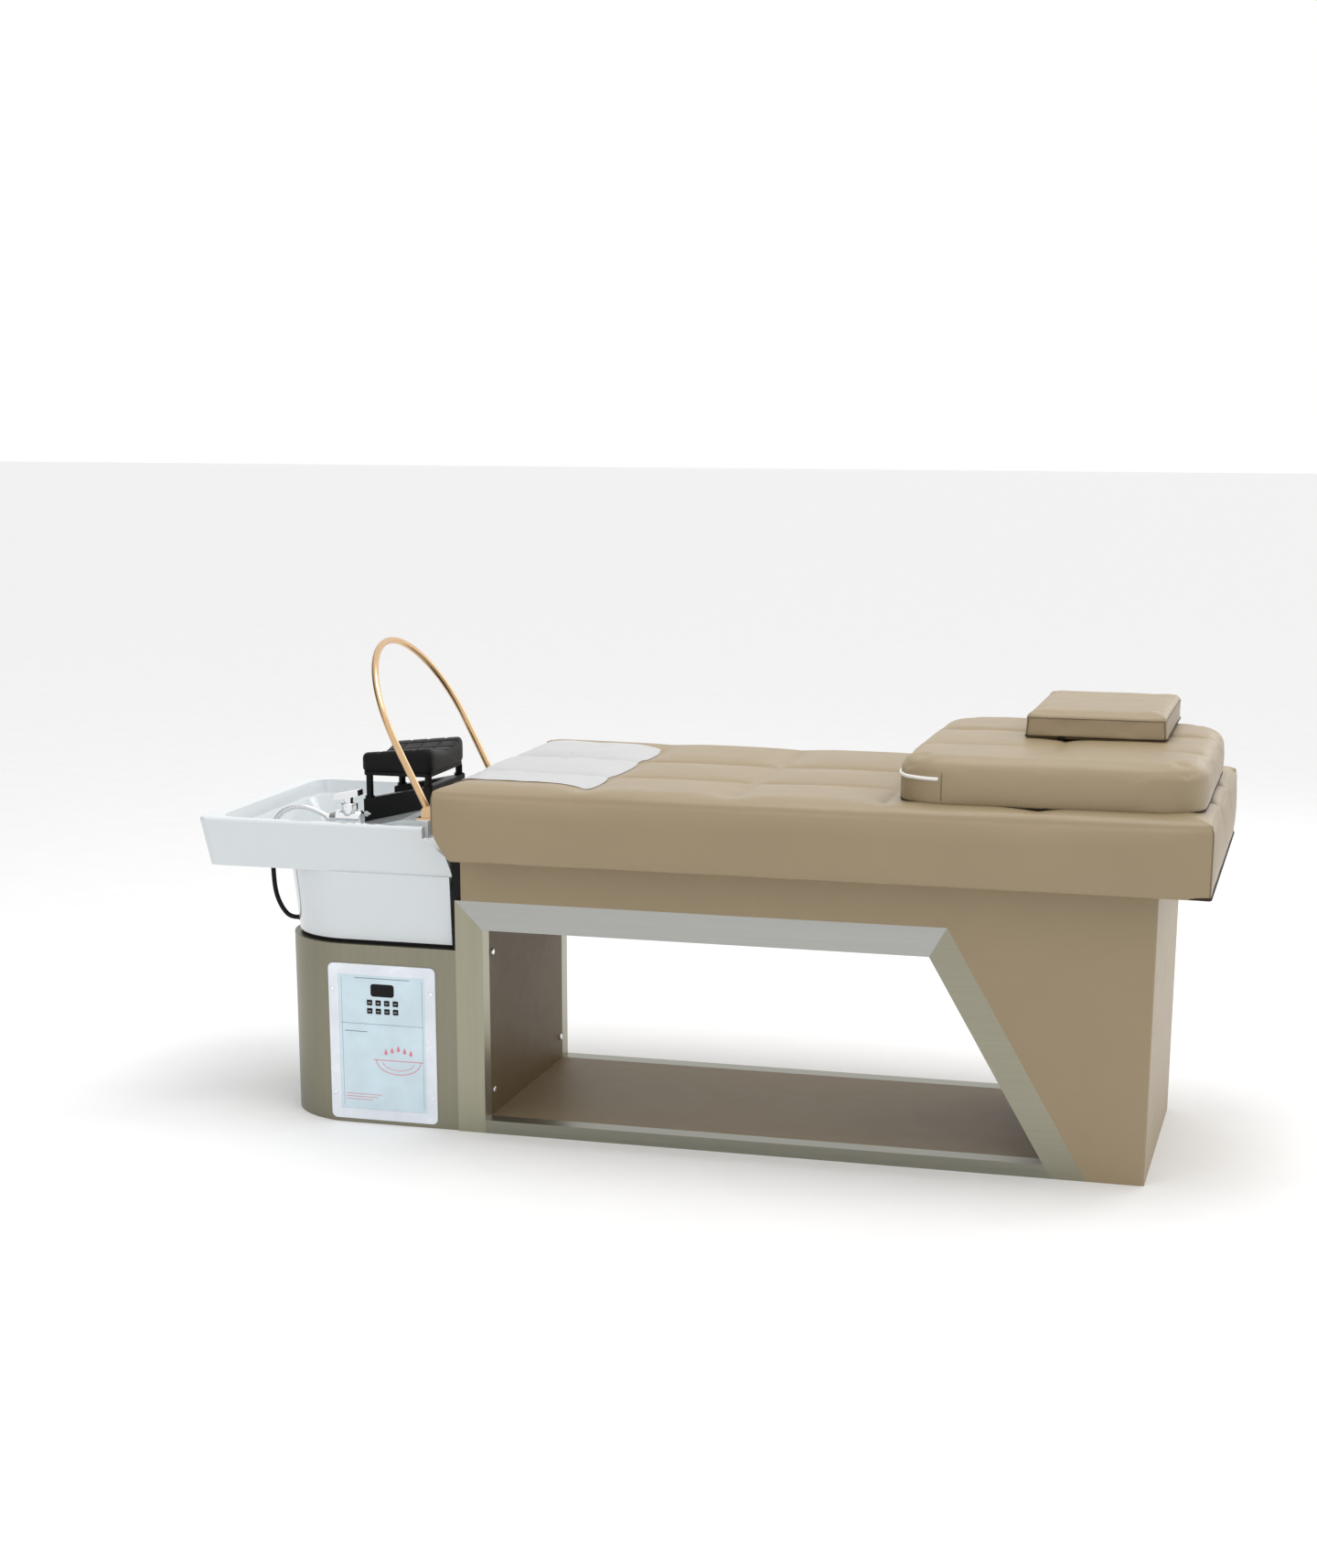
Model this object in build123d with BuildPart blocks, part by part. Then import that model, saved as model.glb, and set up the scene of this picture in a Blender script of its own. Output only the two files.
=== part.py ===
from build123d import *
import math
import os

# Shampoo backwash bed: a mattress bed with a ceramic basin on a steel service cabinet at its head.
# Frame: origin on the floor under the centre of the outer box, +X to the foot end, +Z up.
# "near" is the -Y side, which carries the control panel.  All sizes are in millimetres.

os.makedirs("parts", exist_ok=True)

# ---------------------------------------------------------------- driving dimensions
LENGTH = 2100                      # basin tip to foot end of the mattress
BASIN_TIP_X = -LENGTH / 2
FOOT_X = LENGTH / 2
MATTRESS_HEAD_X = -490
MATTRESS_HALF = 382                # half width
MATTRESS_LOW = 592
MATTRESS_TOP = 740
BASE_HALF = 290                    # half width of the base below the mattress
BASE_FOOT_X = 949
BOARD = 18                         # upholstered boards of the base
TRIM_DEPTH = 40                    # brushed tube, across the bed
TRIM_WIDTH = 60                    # brushed tube, seen from the side
TRIM_WALL = 1.5
TRIM_HEAD_X = -477
TRIM_TOP = 495
SILL_HEIGHT = 28
BRACE_TOP_X = 545                  # outer corner of rail and brace
BRACE_FOOT_X = 836                 # outer corner of brace and floor
CABINET_REAR_X = -893
CABINET_FRONT_X = -478
CABINET_HALF = 286
CABINET_TOP = 388
CABINET_RADIUS = 165
SHEET = 2                          # steel sheet of the cabinet
GASKET = 8
TUB_LOW = CABINET_TOP + GASKET
TUB_TOP = 541
TUB_FRONT_X = -490
TUB_REAR_X = (-881, -896)          # at the gasket and under the basin
TUB_HALF = (272, 284)
TUB_RADIUS = (150, 164)
TUB_WALL = 8
CERAMIC = 14
RIM_TOP = 643
RIM_FILLET = 7
RIM_OVERRUN = 1.53                 # length that the rim's rounding takes off again
LEDGE_Z = 615                      # ledge around the bowl
TRAY_Z = 560                       # floor of the shallow part of the bowl
BOWL_Z = 440                       # floor of the deep part
DECK_Z = 650                       # deck that carries the arch
DECK_FRONT_X = -546
RAMP_X = (-752, -606)              # where the ramp leaves the ledge and meets the deck
DRAIN_X = -820
ARCH_X = -558
ARCH_Z = 665
ARCH_HALF = 215
ARCH_LEG = 150
ARCH_TILT = math.radians(26.5)     # from upright, towards the basin
ARCH_TUBE = 7.25                   # radius
FIT = 0.06                         # radial clearance of a running fit


def brace_x(z, inset=0):
    """X of the sloping brace's edge at height z, inset square to the slope."""
    run = BRACE_FOOT_X - BRACE_TOP_X
    slope_length = math.hypot(run, TRIM_TOP)
    return BRACE_FOOT_X - z * run / TRIM_TOP - inset * slope_length / TRIM_TOP


def ramp_z(x):
    """Height of the ceramic ramp that rises from the ledge, under the neck rest, to the deck."""
    return LEDGE_Z + (x - RAMP_X[0]) * (DECK_Z - LEDGE_Z) / (RAMP_X[1] - RAMP_X[0])


def side_face(points, y):
    """A face in a plane across Y, from (x, z) points; it extrudes towards -Y."""
    with BuildSketch(Plane.XZ.offset(-y)) as face:
        with BuildLine():
            Polyline(*points, close=True)
        make_face()
    return face.sketch


def plan_face(z, x_rear, x_front, half, rear_radius, front_radius=0):
    """A rectangle in plan, rounded at its rear corners and perhaps at its front ones."""
    with BuildSketch(Plane.XY.offset(z)) as face:
        with Locations(((x_rear + x_front) / 2, 0)):
            Rectangle(x_front - x_rear, 2 * half)
        if rear_radius:
            fillet(face.vertices().group_by(Axis.X)[0], rear_radius)
        if front_radius:
            fillet(face.vertices().group_by(Axis.X)[-1], front_radius)
    return face.sketch


def box_at(x, y, z, mode=Mode.ADD):
    """A box between (low, high) pairs, in the part that is being built."""
    with Locations(((x[0] + x[1]) / 2, (y[0] + y[1]) / 2, (z[0] + z[1]) / 2)):
        Box(x[1] - x[0], y[1] - y[0], z[1] - z[0], mode=mode)


def rod(start, end, radius, mode=Mode.ADD):
    """A round bar from one point to another, in the part that is being built."""
    axis = Vector(*end) - Vector(*start)
    plane = Plane(origin=start, z_dir=axis)
    with Locations(plane):
        Cylinder(radius, axis.length, align=(Align.CENTER, Align.CENTER, Align.MIN), mode=mode)


def save(part, name):
    part.label = name
    export_step(part, f"parts/{name}.step")


# ---------------------------------------------------------------- brushed trim frames
def trim_face(corners, y, inset=0.0):
    """One mitred tube side: outer edge first, inner edge last; inset narrows it to the bore."""
    outer_a, outer_b, inner_b, inner_a = [Vector(x, z) for x, z in corners]
    points = [
        outer_a + (inner_a - outer_a) * inset,
        outer_b + (inner_b - outer_b) * inset,
        inner_b + (outer_b - inner_b) * inset,
        inner_a + (outer_a - inner_a) * inset,
    ]
    return side_face([(p.X, p.Y) for p in points], y)


def trim_pair(corners, width):
    """The same tube in the near and in the far frame, as two solids."""
    inset = TRIM_WALL / width
    with BuildPart() as pair:
        for y in (BASE_HALF, -BASE_HALF + TRIM_DEPTH):
            extrude(trim_face(corners, y), amount=TRIM_DEPTH)
            extrude(
                trim_face(corners, y - TRIM_WALL, inset),
                amount=TRIM_DEPTH - 2 * TRIM_WALL,
                mode=Mode.SUBTRACT,
            )
    return pair.part


TRIM_BAY_X = TRIM_HEAD_X + TRIM_WIDTH
RAIL_LOW = TRIM_TOP - TRIM_WIDTH
TRIM_TUBES = {
    "trim_stiles": (
        [(TRIM_HEAD_X, 0), (TRIM_HEAD_X, TRIM_TOP), (TRIM_BAY_X, RAIL_LOW), (TRIM_BAY_X, 0)],
        TRIM_WIDTH,
    ),
    "trim_rails": (
        [
            (TRIM_HEAD_X, TRIM_TOP),
            (BRACE_TOP_X, TRIM_TOP),
            (brace_x(RAIL_LOW, TRIM_WIDTH), RAIL_LOW),
            (TRIM_BAY_X, RAIL_LOW),
        ],
        TRIM_WIDTH,
    ),
    "trim_braces": (
        [
            (BRACE_TOP_X, TRIM_TOP),
            (BRACE_FOOT_X, 0),
            (brace_x(0, TRIM_WIDTH), 0),
            (brace_x(RAIL_LOW, TRIM_WIDTH), RAIL_LOW),
        ],
        TRIM_WIDTH,
    ),
    "trim_sills": (
        [
            (TRIM_BAY_X, 0),
            (brace_x(0, TRIM_WIDTH), 0),
            (brace_x(SILL_HEIGHT, TRIM_WIDTH), SILL_HEIGHT),
            (TRIM_BAY_X, SILL_HEIGHT),
        ],
        SILL_HEIGHT,
    ),
}
for tube_name, (tube_corners, tube_width) in TRIM_TUBES.items():
    save(trim_pair(tube_corners, tube_width), tube_name)

# ---------------------------------------------------------------- upholstered base
BASE_HEAD_X = -463
TRIM_BACK = BASE_HALF - TRIM_DEPTH
PADDED_EDGE = 4                    # rounding of the upholstered corners at the foot end

with BuildPart() as bed_box:
    box_at((BASE_HEAD_X, BASE_FOOT_X), (-BASE_HALF, BASE_HALF), (TRIM_TOP, MATTRESS_LOW))
    box_at(
        (BASE_HEAD_X + BOARD, BASE_FOOT_X - BOARD),
        (-BASE_HALF + BOARD, BASE_HALF - BOARD),
        (TRIM_TOP + BOARD, MATTRESS_LOW),
        mode=Mode.SUBTRACT,
    )
    fillet(bed_box.edges().filter_by(Axis.Z).group_by(Axis.X)[-1], PADDED_EDGE)
save(bed_box.part, "bed_box")

with BuildPart() as foot_block:
    outer_points = [
        (BRACE_TOP_X, TRIM_TOP), (BASE_FOOT_X, TRIM_TOP), (BASE_FOOT_X, 0), (BRACE_FOOT_X, 0),
    ]
    core_points = [
        (brace_x(TRIM_TOP, TRIM_WIDTH), TRIM_TOP),
        (BRACE_TOP_X + 1, TRIM_TOP),
        (BRACE_FOOT_X + 1, 0),
        (brace_x(0, TRIM_WIDTH), 0),
    ]
    cavity_points = [
        (brace_x(TRIM_TOP, TRIM_WIDTH - BOARD), TRIM_TOP),
        (BASE_FOOT_X - BOARD, TRIM_TOP),
        (BASE_FOOT_X - BOARD, BOARD),
        (brace_x(BOARD, TRIM_WIDTH - BOARD), BOARD),
    ]
    extrude(side_face(outer_points, BASE_HALF), amount=2 * BASE_HALF)
    extrude(side_face(core_points, TRIM_BACK), amount=2 * TRIM_BACK)
    extrude(
        side_face(cavity_points, TRIM_BACK - BOARD), amount=2 * (TRIM_BACK - BOARD), mode=Mode.SUBTRACT
    )
    fillet(foot_block.edges().filter_by(Axis.Z).group_by(Axis.X)[-1], PADDED_EDGE)
save(foot_block.part, "foot_block")

PANEL_SCREW_PLACES = [(y, z) for y in (-232, 232) for z in (80, 378)]
with BuildPart() as head_panel:
    box_at((TRIM_BAY_X - BOARD, TRIM_BAY_X), (-TRIM_BACK, TRIM_BACK), (SILL_HEIGHT, TRIM_TOP))
    for screw_y, screw_z in PANEL_SCREW_PLACES:
        rod(
            (TRIM_BAY_X - BOARD, screw_y, screw_z), (TRIM_BAY_X, screw_y, screw_z), 2.6,
            mode=Mode.SUBTRACT,
        )
save(head_panel.part, "head_panel")

with BuildPart() as head_panel_screws:
    for screw_y, screw_z in PANEL_SCREW_PLACES:
        rod((TRIM_BAY_X - BOARD, screw_y, screw_z), (TRIM_BAY_X, screw_y, screw_z), 2.3)
        rod((TRIM_BAY_X, screw_y, screw_z), (TRIM_BAY_X + 4, screw_y, screw_z), 7)
    fillet(head_panel_screws.edges().filter_by(GeomType.CIRCLE).group_by(Axis.X)[-1], 2.5)
save(head_panel_screws.part, "head_panel_screws")

with BuildPart() as shelf_board:
    shelf_low = SILL_HEIGHT - BOARD
    shelf_points = [
        (TRIM_BAY_X - BOARD, shelf_low),
        (brace_x(shelf_low, TRIM_WIDTH), shelf_low),
        (brace_x(SILL_HEIGHT, TRIM_WIDTH), SILL_HEIGHT),
        (TRIM_BAY_X - BOARD, SILL_HEIGHT),
    ]
    extrude(side_face(shelf_points, TRIM_BACK), amount=2 * TRIM_BACK)
save(shelf_board.part, "shelf_board")

BULKHEAD_X = -484
with BuildPart() as bulkhead:
    bulkhead_points = [
        (BULKHEAD_X, 0), (CABINET_FRONT_X - 1, 0), (CABINET_FRONT_X - 1, TRIM_TOP),
        (BASE_HEAD_X - 1, TRIM_TOP), (BASE_HEAD_X - 1, MATTRESS_LOW), (BULKHEAD_X, MATTRESS_LOW),
    ]
    extrude(side_face(bulkhead_points, CABINET_HALF - SHEET), amount=2 * (CABINET_HALF - SHEET))
save(bulkhead.part, "bulkhead")

# ---------------------------------------------------------------- mattress and loose cushions
DECK_BOARD = 12
DECK_BOARD_X = (-440, 1038)
DECK_BOARD_HALF = 368
with BuildPart() as mattress_board:
    box_at(
        DECK_BOARD_X, (-DECK_BOARD_HALF, DECK_BOARD_HALF), (MATTRESS_LOW, MATTRESS_LOW + DECK_BOARD)
    )
save(mattress_board.part, "mattress_board")

with BuildPart() as mattress:
    mattress_points = [
        (MATTRESS_HEAD_X, 644), (MATTRESS_HEAD_X, MATTRESS_TOP), (FOOT_X, MATTRESS_TOP),
        (FOOT_X, MATTRESS_LOW), (MATTRESS_HEAD_X + 36, MATTRESS_LOW),
    ]
    extrude(side_face(mattress_points, MATTRESS_HALF), amount=2 * MATTRESS_HALF)
    fillet(mattress.edges().group_by(Axis.Z)[-1], 10)
    box_at(
        DECK_BOARD_X,
        (-DECK_BOARD_HALF, DECK_BOARD_HALF),
        (MATTRESS_LOW, MATTRESS_LOW + DECK_BOARD),
        mode=Mode.SUBTRACT,
    )
save(mattress.part, "mattress")

CUSHION_LOW = MATTRESS_TOP + 0.4
CUSHION_TOP = 835
with BuildPart() as leg_cushion:
    extrude(plan_face(CUSHION_LOW, 438, 1028, 335, 95, 95), amount=CUSHION_TOP - CUSHION_LOW)
    fillet(leg_cushion.faces().sort_by(Axis.Z)[-1].edges(), 22)
save(leg_cushion.part, "leg_cushion")

PILLOW_LOW = CUSHION_TOP + 0.4
PILLOW_MIDDLE = (784.5, 172.5)
with BuildPart() as pillow:
    with BuildSketch(Plane.XY.offset(PILLOW_LOW)):
        with Locations(PILLOW_MIDDLE):
            RectangleRounded(277, 385, 26)
    extrude(amount=890 - PILLOW_LOW)
    fillet(pillow.faces().sort_by(Axis.Z)[-1].edges(), 14)
save(pillow.part, "pillow")

FILM = 0.8                         # thickness of the clear head cover
FILM_HALF = 292
FILM_HEAD_X = MATTRESS_HEAD_X + 12
FILM_FOOT_X = (-198, -186)         # in the dips and on the crests of its scalloped edge
FILM_DIPS_Y = (-FILM_HALF, -115, 115, FILM_HALF)
with BuildPart() as head_film:
    with BuildSketch(Plane.XY.offset(MATTRESS_TOP)):
        with BuildLine():
            Polyline(
                (FILM_FOOT_X[0], -FILM_HALF), (FILM_HEAD_X, -FILM_HALF),
                (FILM_HEAD_X, FILM_HALF), (FILM_FOOT_X[0], FILM_HALF),
            )
            for dip_a, dip_b in zip(FILM_DIPS_Y, FILM_DIPS_Y[1:]):
                ThreePointArc(
                    (FILM_FOOT_X[0], dip_a),
                    (FILM_FOOT_X[1], (dip_a + dip_b) / 2),
                    (FILM_FOOT_X[0], dip_b),
                )
        make_face()
    extrude(amount=FILM)
save(head_film.part, "head_film")

# ---------------------------------------------------------------- steel cabinet
DOOR_OPENING_HALF = 108
DOOR_OPENING_Z = (82, 356)
INLET_Y = (-92, -52)
INLET_Z = 45
INLET_RADIUS = 10.48               # G1/2 male thread
SPIGOT_Y = 70
SPIGOT_Z = 42
SPIGOT_RADIUS = 20
POWER_Y = (-24, 24)
POWER_Z = (31, 59)
COLLAR = 3                         # thickness of the pipes' collars outside the wall
PANEL_X = -643.5                   # middle of the control panel
PANEL_Z = 178
PANE_HALF = (96.5, 146)            # half width and half height of the fascia

with BuildPart() as cabinet_shell:
    extrude(
        plan_face(0, CABINET_REAR_X, CABINET_FRONT_X, CABINET_HALF, CABINET_RADIUS), amount=CABINET_TOP
    )
    extrude(
        plan_face(
            0, CABINET_REAR_X + SHEET, CABINET_FRONT_X, CABINET_HALF - SHEET, CABINET_RADIUS - SHEET
        ),
        amount=CABINET_TOP,
        mode=Mode.SUBTRACT,
    )
    wall_x = (CABINET_REAR_X - 1, CABINET_REAR_X + SHEET + 1)
    box_at(wall_x, (-DOOR_OPENING_HALF, DOOR_OPENING_HALF), DOOR_OPENING_Z, mode=Mode.SUBTRACT)
    box_at(wall_x, POWER_Y, POWER_Z, mode=Mode.SUBTRACT)
    pipe_holes = [(inlet_y, INLET_Z, INLET_RADIUS + 0.3) for inlet_y in INLET_Y]
    pipe_holes.append((SPIGOT_Y, SPIGOT_Z, SPIGOT_RADIUS + 0.5))
    for hole_y, hole_z, hole_radius in pipe_holes:
        rod((wall_x[0], hole_y, hole_z), (wall_x[1], hole_y, hole_z), hole_radius, Mode.SUBTRACT)
    box_at(
        (PANEL_X - PANE_HALF[0] - 1, PANEL_X + PANE_HALF[0] + 1),
        (-CABINET_HALF - 1, -CABINET_HALF + SHEET + 1),
        (PANEL_Z - PANE_HALF[1] - 1, PANEL_Z + PANE_HALF[1] + 1),
        mode=Mode.SUBTRACT,
    )
save(cabinet_shell.part, "cabinet_shell")

INNER_HALF = CABINET_HALF - SHEET
FLOOR_Z = (15, 18)
TOP_PLATE = 4
FEET_PLACES = [(x, y) for x in (-780, -508) for y in (-215, 215)]
with BuildPart() as cabinet_floor:
    extrude(
        plan_face(FLOOR_Z[0], CABINET_REAR_X + SHEET, BULKHEAD_X, INNER_HALF, CABINET_RADIUS - SHEET),
        amount=FLOOR_Z[1] - FLOOR_Z[0],
    )
    for foot_x, foot_y in FEET_PLACES:
        rod((foot_x, foot_y, FLOOR_Z[0]), (foot_x, foot_y, FLOOR_Z[1]), 4.3, mode=Mode.SUBTRACT)
save(cabinet_floor.part, "cabinet_floor")

with BuildPart() as levelling_feet:
    for foot_x, foot_y in FEET_PLACES:
        rod((foot_x, foot_y, 0), (foot_x, foot_y, 6), 18)
        rod((foot_x, foot_y, 6), (foot_x, foot_y, 32), 4)
        rod((foot_x, foot_y, 10), (foot_x, foot_y, FLOOR_Z[0]), 7.5)
save(levelling_feet.part, "levelling_feet")

with BuildPart() as cabinet_top:
    extrude(
        plan_face(
            CABINET_TOP - TOP_PLATE, CABINET_REAR_X + SHEET, BULKHEAD_X, INNER_HALF, CABINET_RADIUS - SHEET
        ),
        amount=TOP_PLATE,
    )
    top_opening = plan_face(CABINET_TOP - TOP_PLATE, -862, -540, 225, 120, 20)
    extrude(top_opening, amount=TOP_PLATE, mode=Mode.SUBTRACT)
save(cabinet_top.part, "cabinet_top")

with BuildPart() as tub_gasket:
    for gasket_inset, gasket_mode in ((3, Mode.ADD), (18, Mode.SUBTRACT)):
        extrude(
            plan_face(
                CABINET_TOP,
                TUB_REAR_X[0] + gasket_inset,
                TUB_FRONT_X if gasket_mode == Mode.ADD else TUB_FRONT_X - 15,
                TUB_HALF[0] - gasket_inset,
                TUB_RADIUS[0] - gasket_inset,
            ),
            amount=GASKET,
            mode=gasket_mode,
        )
save(tub_gasket.part, "tub_gasket")

# ---------------------------------------------------------------- rear service door
DOOR_BACK_X = CABINET_REAR_X - 0.3
DOOR_FACE_X = DOOR_BACK_X - SHEET
HANDLE_X = (DOOR_FACE_X - 9.7, DOOR_FACE_X - 5.7)
HINGE_X = CABINET_REAR_X - 5.5
HINGE_Y = 118
HINGE_HEIGHTS = (120, 318)
BARREL = 4                         # outside radius of a hinge barrel
HINGE_PIN = 1.5
with BuildPart() as service_door:
    box_at((DOOR_FACE_X, DOOR_BACK_X), (-116, 112), (76, 362))
    box_at((DOOR_BACK_X, DOOR_BACK_X + 10), (-100, 100), (90, 348))
    box_at((DOOR_BACK_X, DOOR_BACK_X + 11), (-98, 98), (92, 346), mode=Mode.SUBTRACT)
    box_at(HANDLE_X, (-106, -94), (198, 310))
    for post_z in (204, 304):
        box_at((HANDLE_X[1], DOOR_FACE_X), (-106, -94), (post_z - 6, post_z + 6))
save(service_door.part, "service_door")

with BuildPart() as door_hinge_leaves:
    for hinge_z in HINGE_HEIGHTS:
        box_at((DOOR_FACE_X - 2, DOOR_FACE_X), (90, 116), (hinge_z - 7.6, hinge_z + 7.6))
        rod((HINGE_X, HINGE_Y, hinge_z - 7.6), (HINGE_X, HINGE_Y, hinge_z + 7.6), BARREL)
        rod(
            (HINGE_X, HINGE_Y, hinge_z - 8), (HINGE_X, HINGE_Y, hinge_z + 8), HINGE_PIN + FIT,
            mode=Mode.SUBTRACT,
        )
save(door_hinge_leaves.part, "door_hinge_leaves")

with BuildPart() as fixed_hinge_leaves:
    for hinge_z in HINGE_HEIGHTS:
        leaf_x = (CABINET_REAR_X - 2, CABINET_REAR_X)
        box_at(leaf_x, (123, 137), (hinge_z - 20, hinge_z + 20))
        for low, high in ((-20, -8), (8, 20)):
            box_at(leaf_x, (HINGE_Y, 124), (hinge_z + low, hinge_z + high))
            rod((HINGE_X, HINGE_Y, hinge_z + low), (HINGE_X, HINGE_Y, hinge_z + high), BARREL)
        rod((HINGE_X, HINGE_Y, hinge_z - 20), (HINGE_X, HINGE_Y, hinge_z + 20), HINGE_PIN)
save(fixed_hinge_leaves.part, "fixed_hinge_leaves")

# ---------------------------------------------------------------- control panel
PANEL_FRONT = -CABINET_HALF - 4
FASCIA_FRONT = -CABINET_HALF - 3.4
FASCIA_BACK = -CABINET_HALF - 0.4
BUTTON = 11.4
BUTTON_X = [PANEL_X + 1.5 + (column - 1.5) * 19.3 for column in range(4)]
BUTTON_Z = (265.5, 247.5)
DISPLAY_X = PANEL_X + 1.5
DISPLAY_Z = 292.5


def panel_face(y, middle, width, height, radius=0.0):
    """A rectangle standing in a plane across Y, about (x, z)."""
    with BuildSketch(Plane.XZ.offset(-y)) as face:
        with Locations(middle):
            if radius:
                RectangleRounded(width, height, radius)
            else:
                Rectangle(width, height)
    return face.sketch


with BuildPart() as panel_bezel:
    extrude(panel_face(-CABINET_HALF, (PANEL_X, PANEL_Z), 239, 338, 12), amount=4)
    fillet(panel_bezel.faces().sort_by(Axis.Y)[0].edges(), 1.5)
    pane = (2 * PANE_HALF[0] + 0.4, 2 * PANE_HALF[1] + 0.4)
    extrude(panel_face(-CABINET_HALF, (PANEL_X, PANEL_Z), *pane), amount=4, mode=Mode.SUBTRACT)
save(panel_bezel.part, "panel_bezel")

with BuildPart() as panel_fascia:
    extrude(panel_face(FASCIA_BACK, (PANEL_X, PANEL_Z), 2 * PANE_HALF[0], 2 * PANE_HALF[1]), amount=3)
    for button_x in BUTTON_X:
        for button_z in BUTTON_Z:
            extrude(
                panel_face(FASCIA_BACK, (button_x, button_z), BUTTON + 0.8, BUTTON + 0.8),
                amount=3,
                mode=Mode.SUBTRACT,
            )
    display_opening = panel_face(FASCIA_BACK, (DISPLAY_X, DISPLAY_Z), 52.4, 27.4, 6.2)
    extrude(display_opening, amount=3, mode=Mode.SUBTRACT)
save(panel_fascia.part, "panel_fascia")

with BuildPart() as display_window:
    extrude(panel_face(FASCIA_BACK, (DISPLAY_X, DISPLAY_Z), 52, 27, 6), amount=3.6)
    fillet(display_window.faces().sort_by(Axis.Y)[0].edges(), 0.5)
save(display_window.part, "display_window")

with BuildPart() as panel_screws:
    for screw_x in (-110, 110):
        for screw_z in (-113, 114):
            place = (PANEL_X + screw_x, PANEL_FRONT, PANEL_Z + screw_z)
            rod(place, (place[0], place[1] - 2, place[2]), 4.2)
    fillet(panel_screws.edges().filter_by(GeomType.CIRCLE).group_by(Axis.Y)[0], 1.2)
save(panel_screws.part, "panel_screws")

HOUSING_DEPTH = 40
BOARD_FRONT = -278
BOARD_SHEET = 1.6
BOARD_Z = DISPLAY_Z - 18
with BuildPart() as panel_housing:
    housing_back = FASCIA_BACK + HOUSING_DEPTH
    for y, wall, mode in ((housing_back, 0, Mode.ADD), (housing_back - 3, 3, Mode.SUBTRACT)):
        width, height = (2 * half - 2 * wall for half in PANE_HALF)
        extrude(panel_face(y, (PANEL_X, PANEL_Z), width, height), amount=HOUSING_DEPTH, mode=mode)
    for post_x in (PANEL_X - 58, PANEL_X + 58):
        for post_z in (BOARD_Z - 34, BOARD_Z + 34):
            rod((post_x, housing_back - 3, post_z), (post_x, BOARD_FRONT + BOARD_SHEET, post_z), 4)
save(panel_housing.part, "panel_housing")

with BuildPart() as control_board:
    extrude(panel_face(BOARD_FRONT + BOARD_SHEET, (PANEL_X, BOARD_Z), 132, 84, 3), amount=BOARD_SHEET)
    for button_x in BUTTON_X:
        for button_z in BUTTON_Z:
            extrude(panel_face(BOARD_FRONT, (button_x, button_z), 6.2, 6.2), amount=2.4)
    extrude(panel_face(BOARD_FRONT, (DISPLAY_X, DISPLAY_Z), 46, 21), amount=6)
save(control_board.part, "control_board")


def push_button(x, z):
    """A square cap through the fascia, with a collar behind it and a stem to its switch."""
    with BuildPart() as button:
        extrude(panel_face(FASCIA_BACK + 0.2, (x, z), BUTTON, BUTTON, 1.2), amount=4.4)
        fillet(button.faces().sort_by(Axis.Y)[0].edges(), 0.6)
        extrude(panel_face(FASCIA_BACK + 1.2, (x, z), BUTTON + 2.6, BUTTON + 2.6), amount=1.0)
        extrude(panel_face(BOARD_FRONT - 3.6, (x, z), 5, 5), amount=4)
    return button.part


button_number = 0
for button_z in BUTTON_Z:
    for button_x in BUTTON_X:
        button_number += 1
        save(push_button(button_x, button_z), f"button_{button_number}")

# ---------------------------------------------------------------- hose routes
def tangent_radii(points):
    """The largest radius that each corner's shorter run leaves room for."""
    radii = []
    for before, corner, after in zip(points, points[1:], points[2:]):
        first = Vector(*corner) - Vector(*before)
        second = Vector(*after) - Vector(*corner)
        half_turn = math.radians(first.get_angle(second)) / 2
        radii.append(0.45 * min(first.length, second.length) / math.tan(half_turn))
    return radii


def hose(points, radius):
    """A solid hose along straight runs that are joined by tangent arcs."""
    radii = tangent_radii(points)
    print("radii", [round(r) for r in radii])
    with BuildPart() as tube:
        with BuildLine() as route:
            FilletPolyline(*points, radius=radii)
        with BuildSketch(Plane(origin=points[0], z_dir=Vector(*points[1]) - Vector(*points[0]))):
            Circle(radius)
        sweep()
    route_length = route.wires()[0].length
    volume_ratio = tube.part.volume / (math.pi * radius**2 * route_length)
    print("length", round(route_length), "volume ratio", volume_ratio)
    return tube.part


def hose_end(points):
    """The unit direction in which a hose arrives at its last point."""
    return (Vector(*points[-1]) - Vector(*points[-2])).normalized()


GROMMET = (-925, -185)             # where the hose passes the basin's floor
GLAND_RADIUS = 7.7                 # where the supply hose enters the tub
GROMMET_TOP = TRAY_Z + 12
GROMMET_LOW = TUB_TOP - 8
MIXER = (-738, -205)
BARREL_Z = 641
MIXER_HOSE = [
    (*GROMMET, GROMMET_TOP),
    (-925, -185, 602),
    (-910, -188, 636),
    (-872, -193, 659),
    (-824, -199, 658),
    (-786, -205, BARREL_Z),
]
SUPPLY_HOSE = [
    (*GROMMET, GROMMET_LOW),
    (-925, -185, 503),
    (-920, -186, 464),
    (-905, -187, 433),
    (-886, -187, 416),
    (-867, -187, 418),
]

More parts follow.
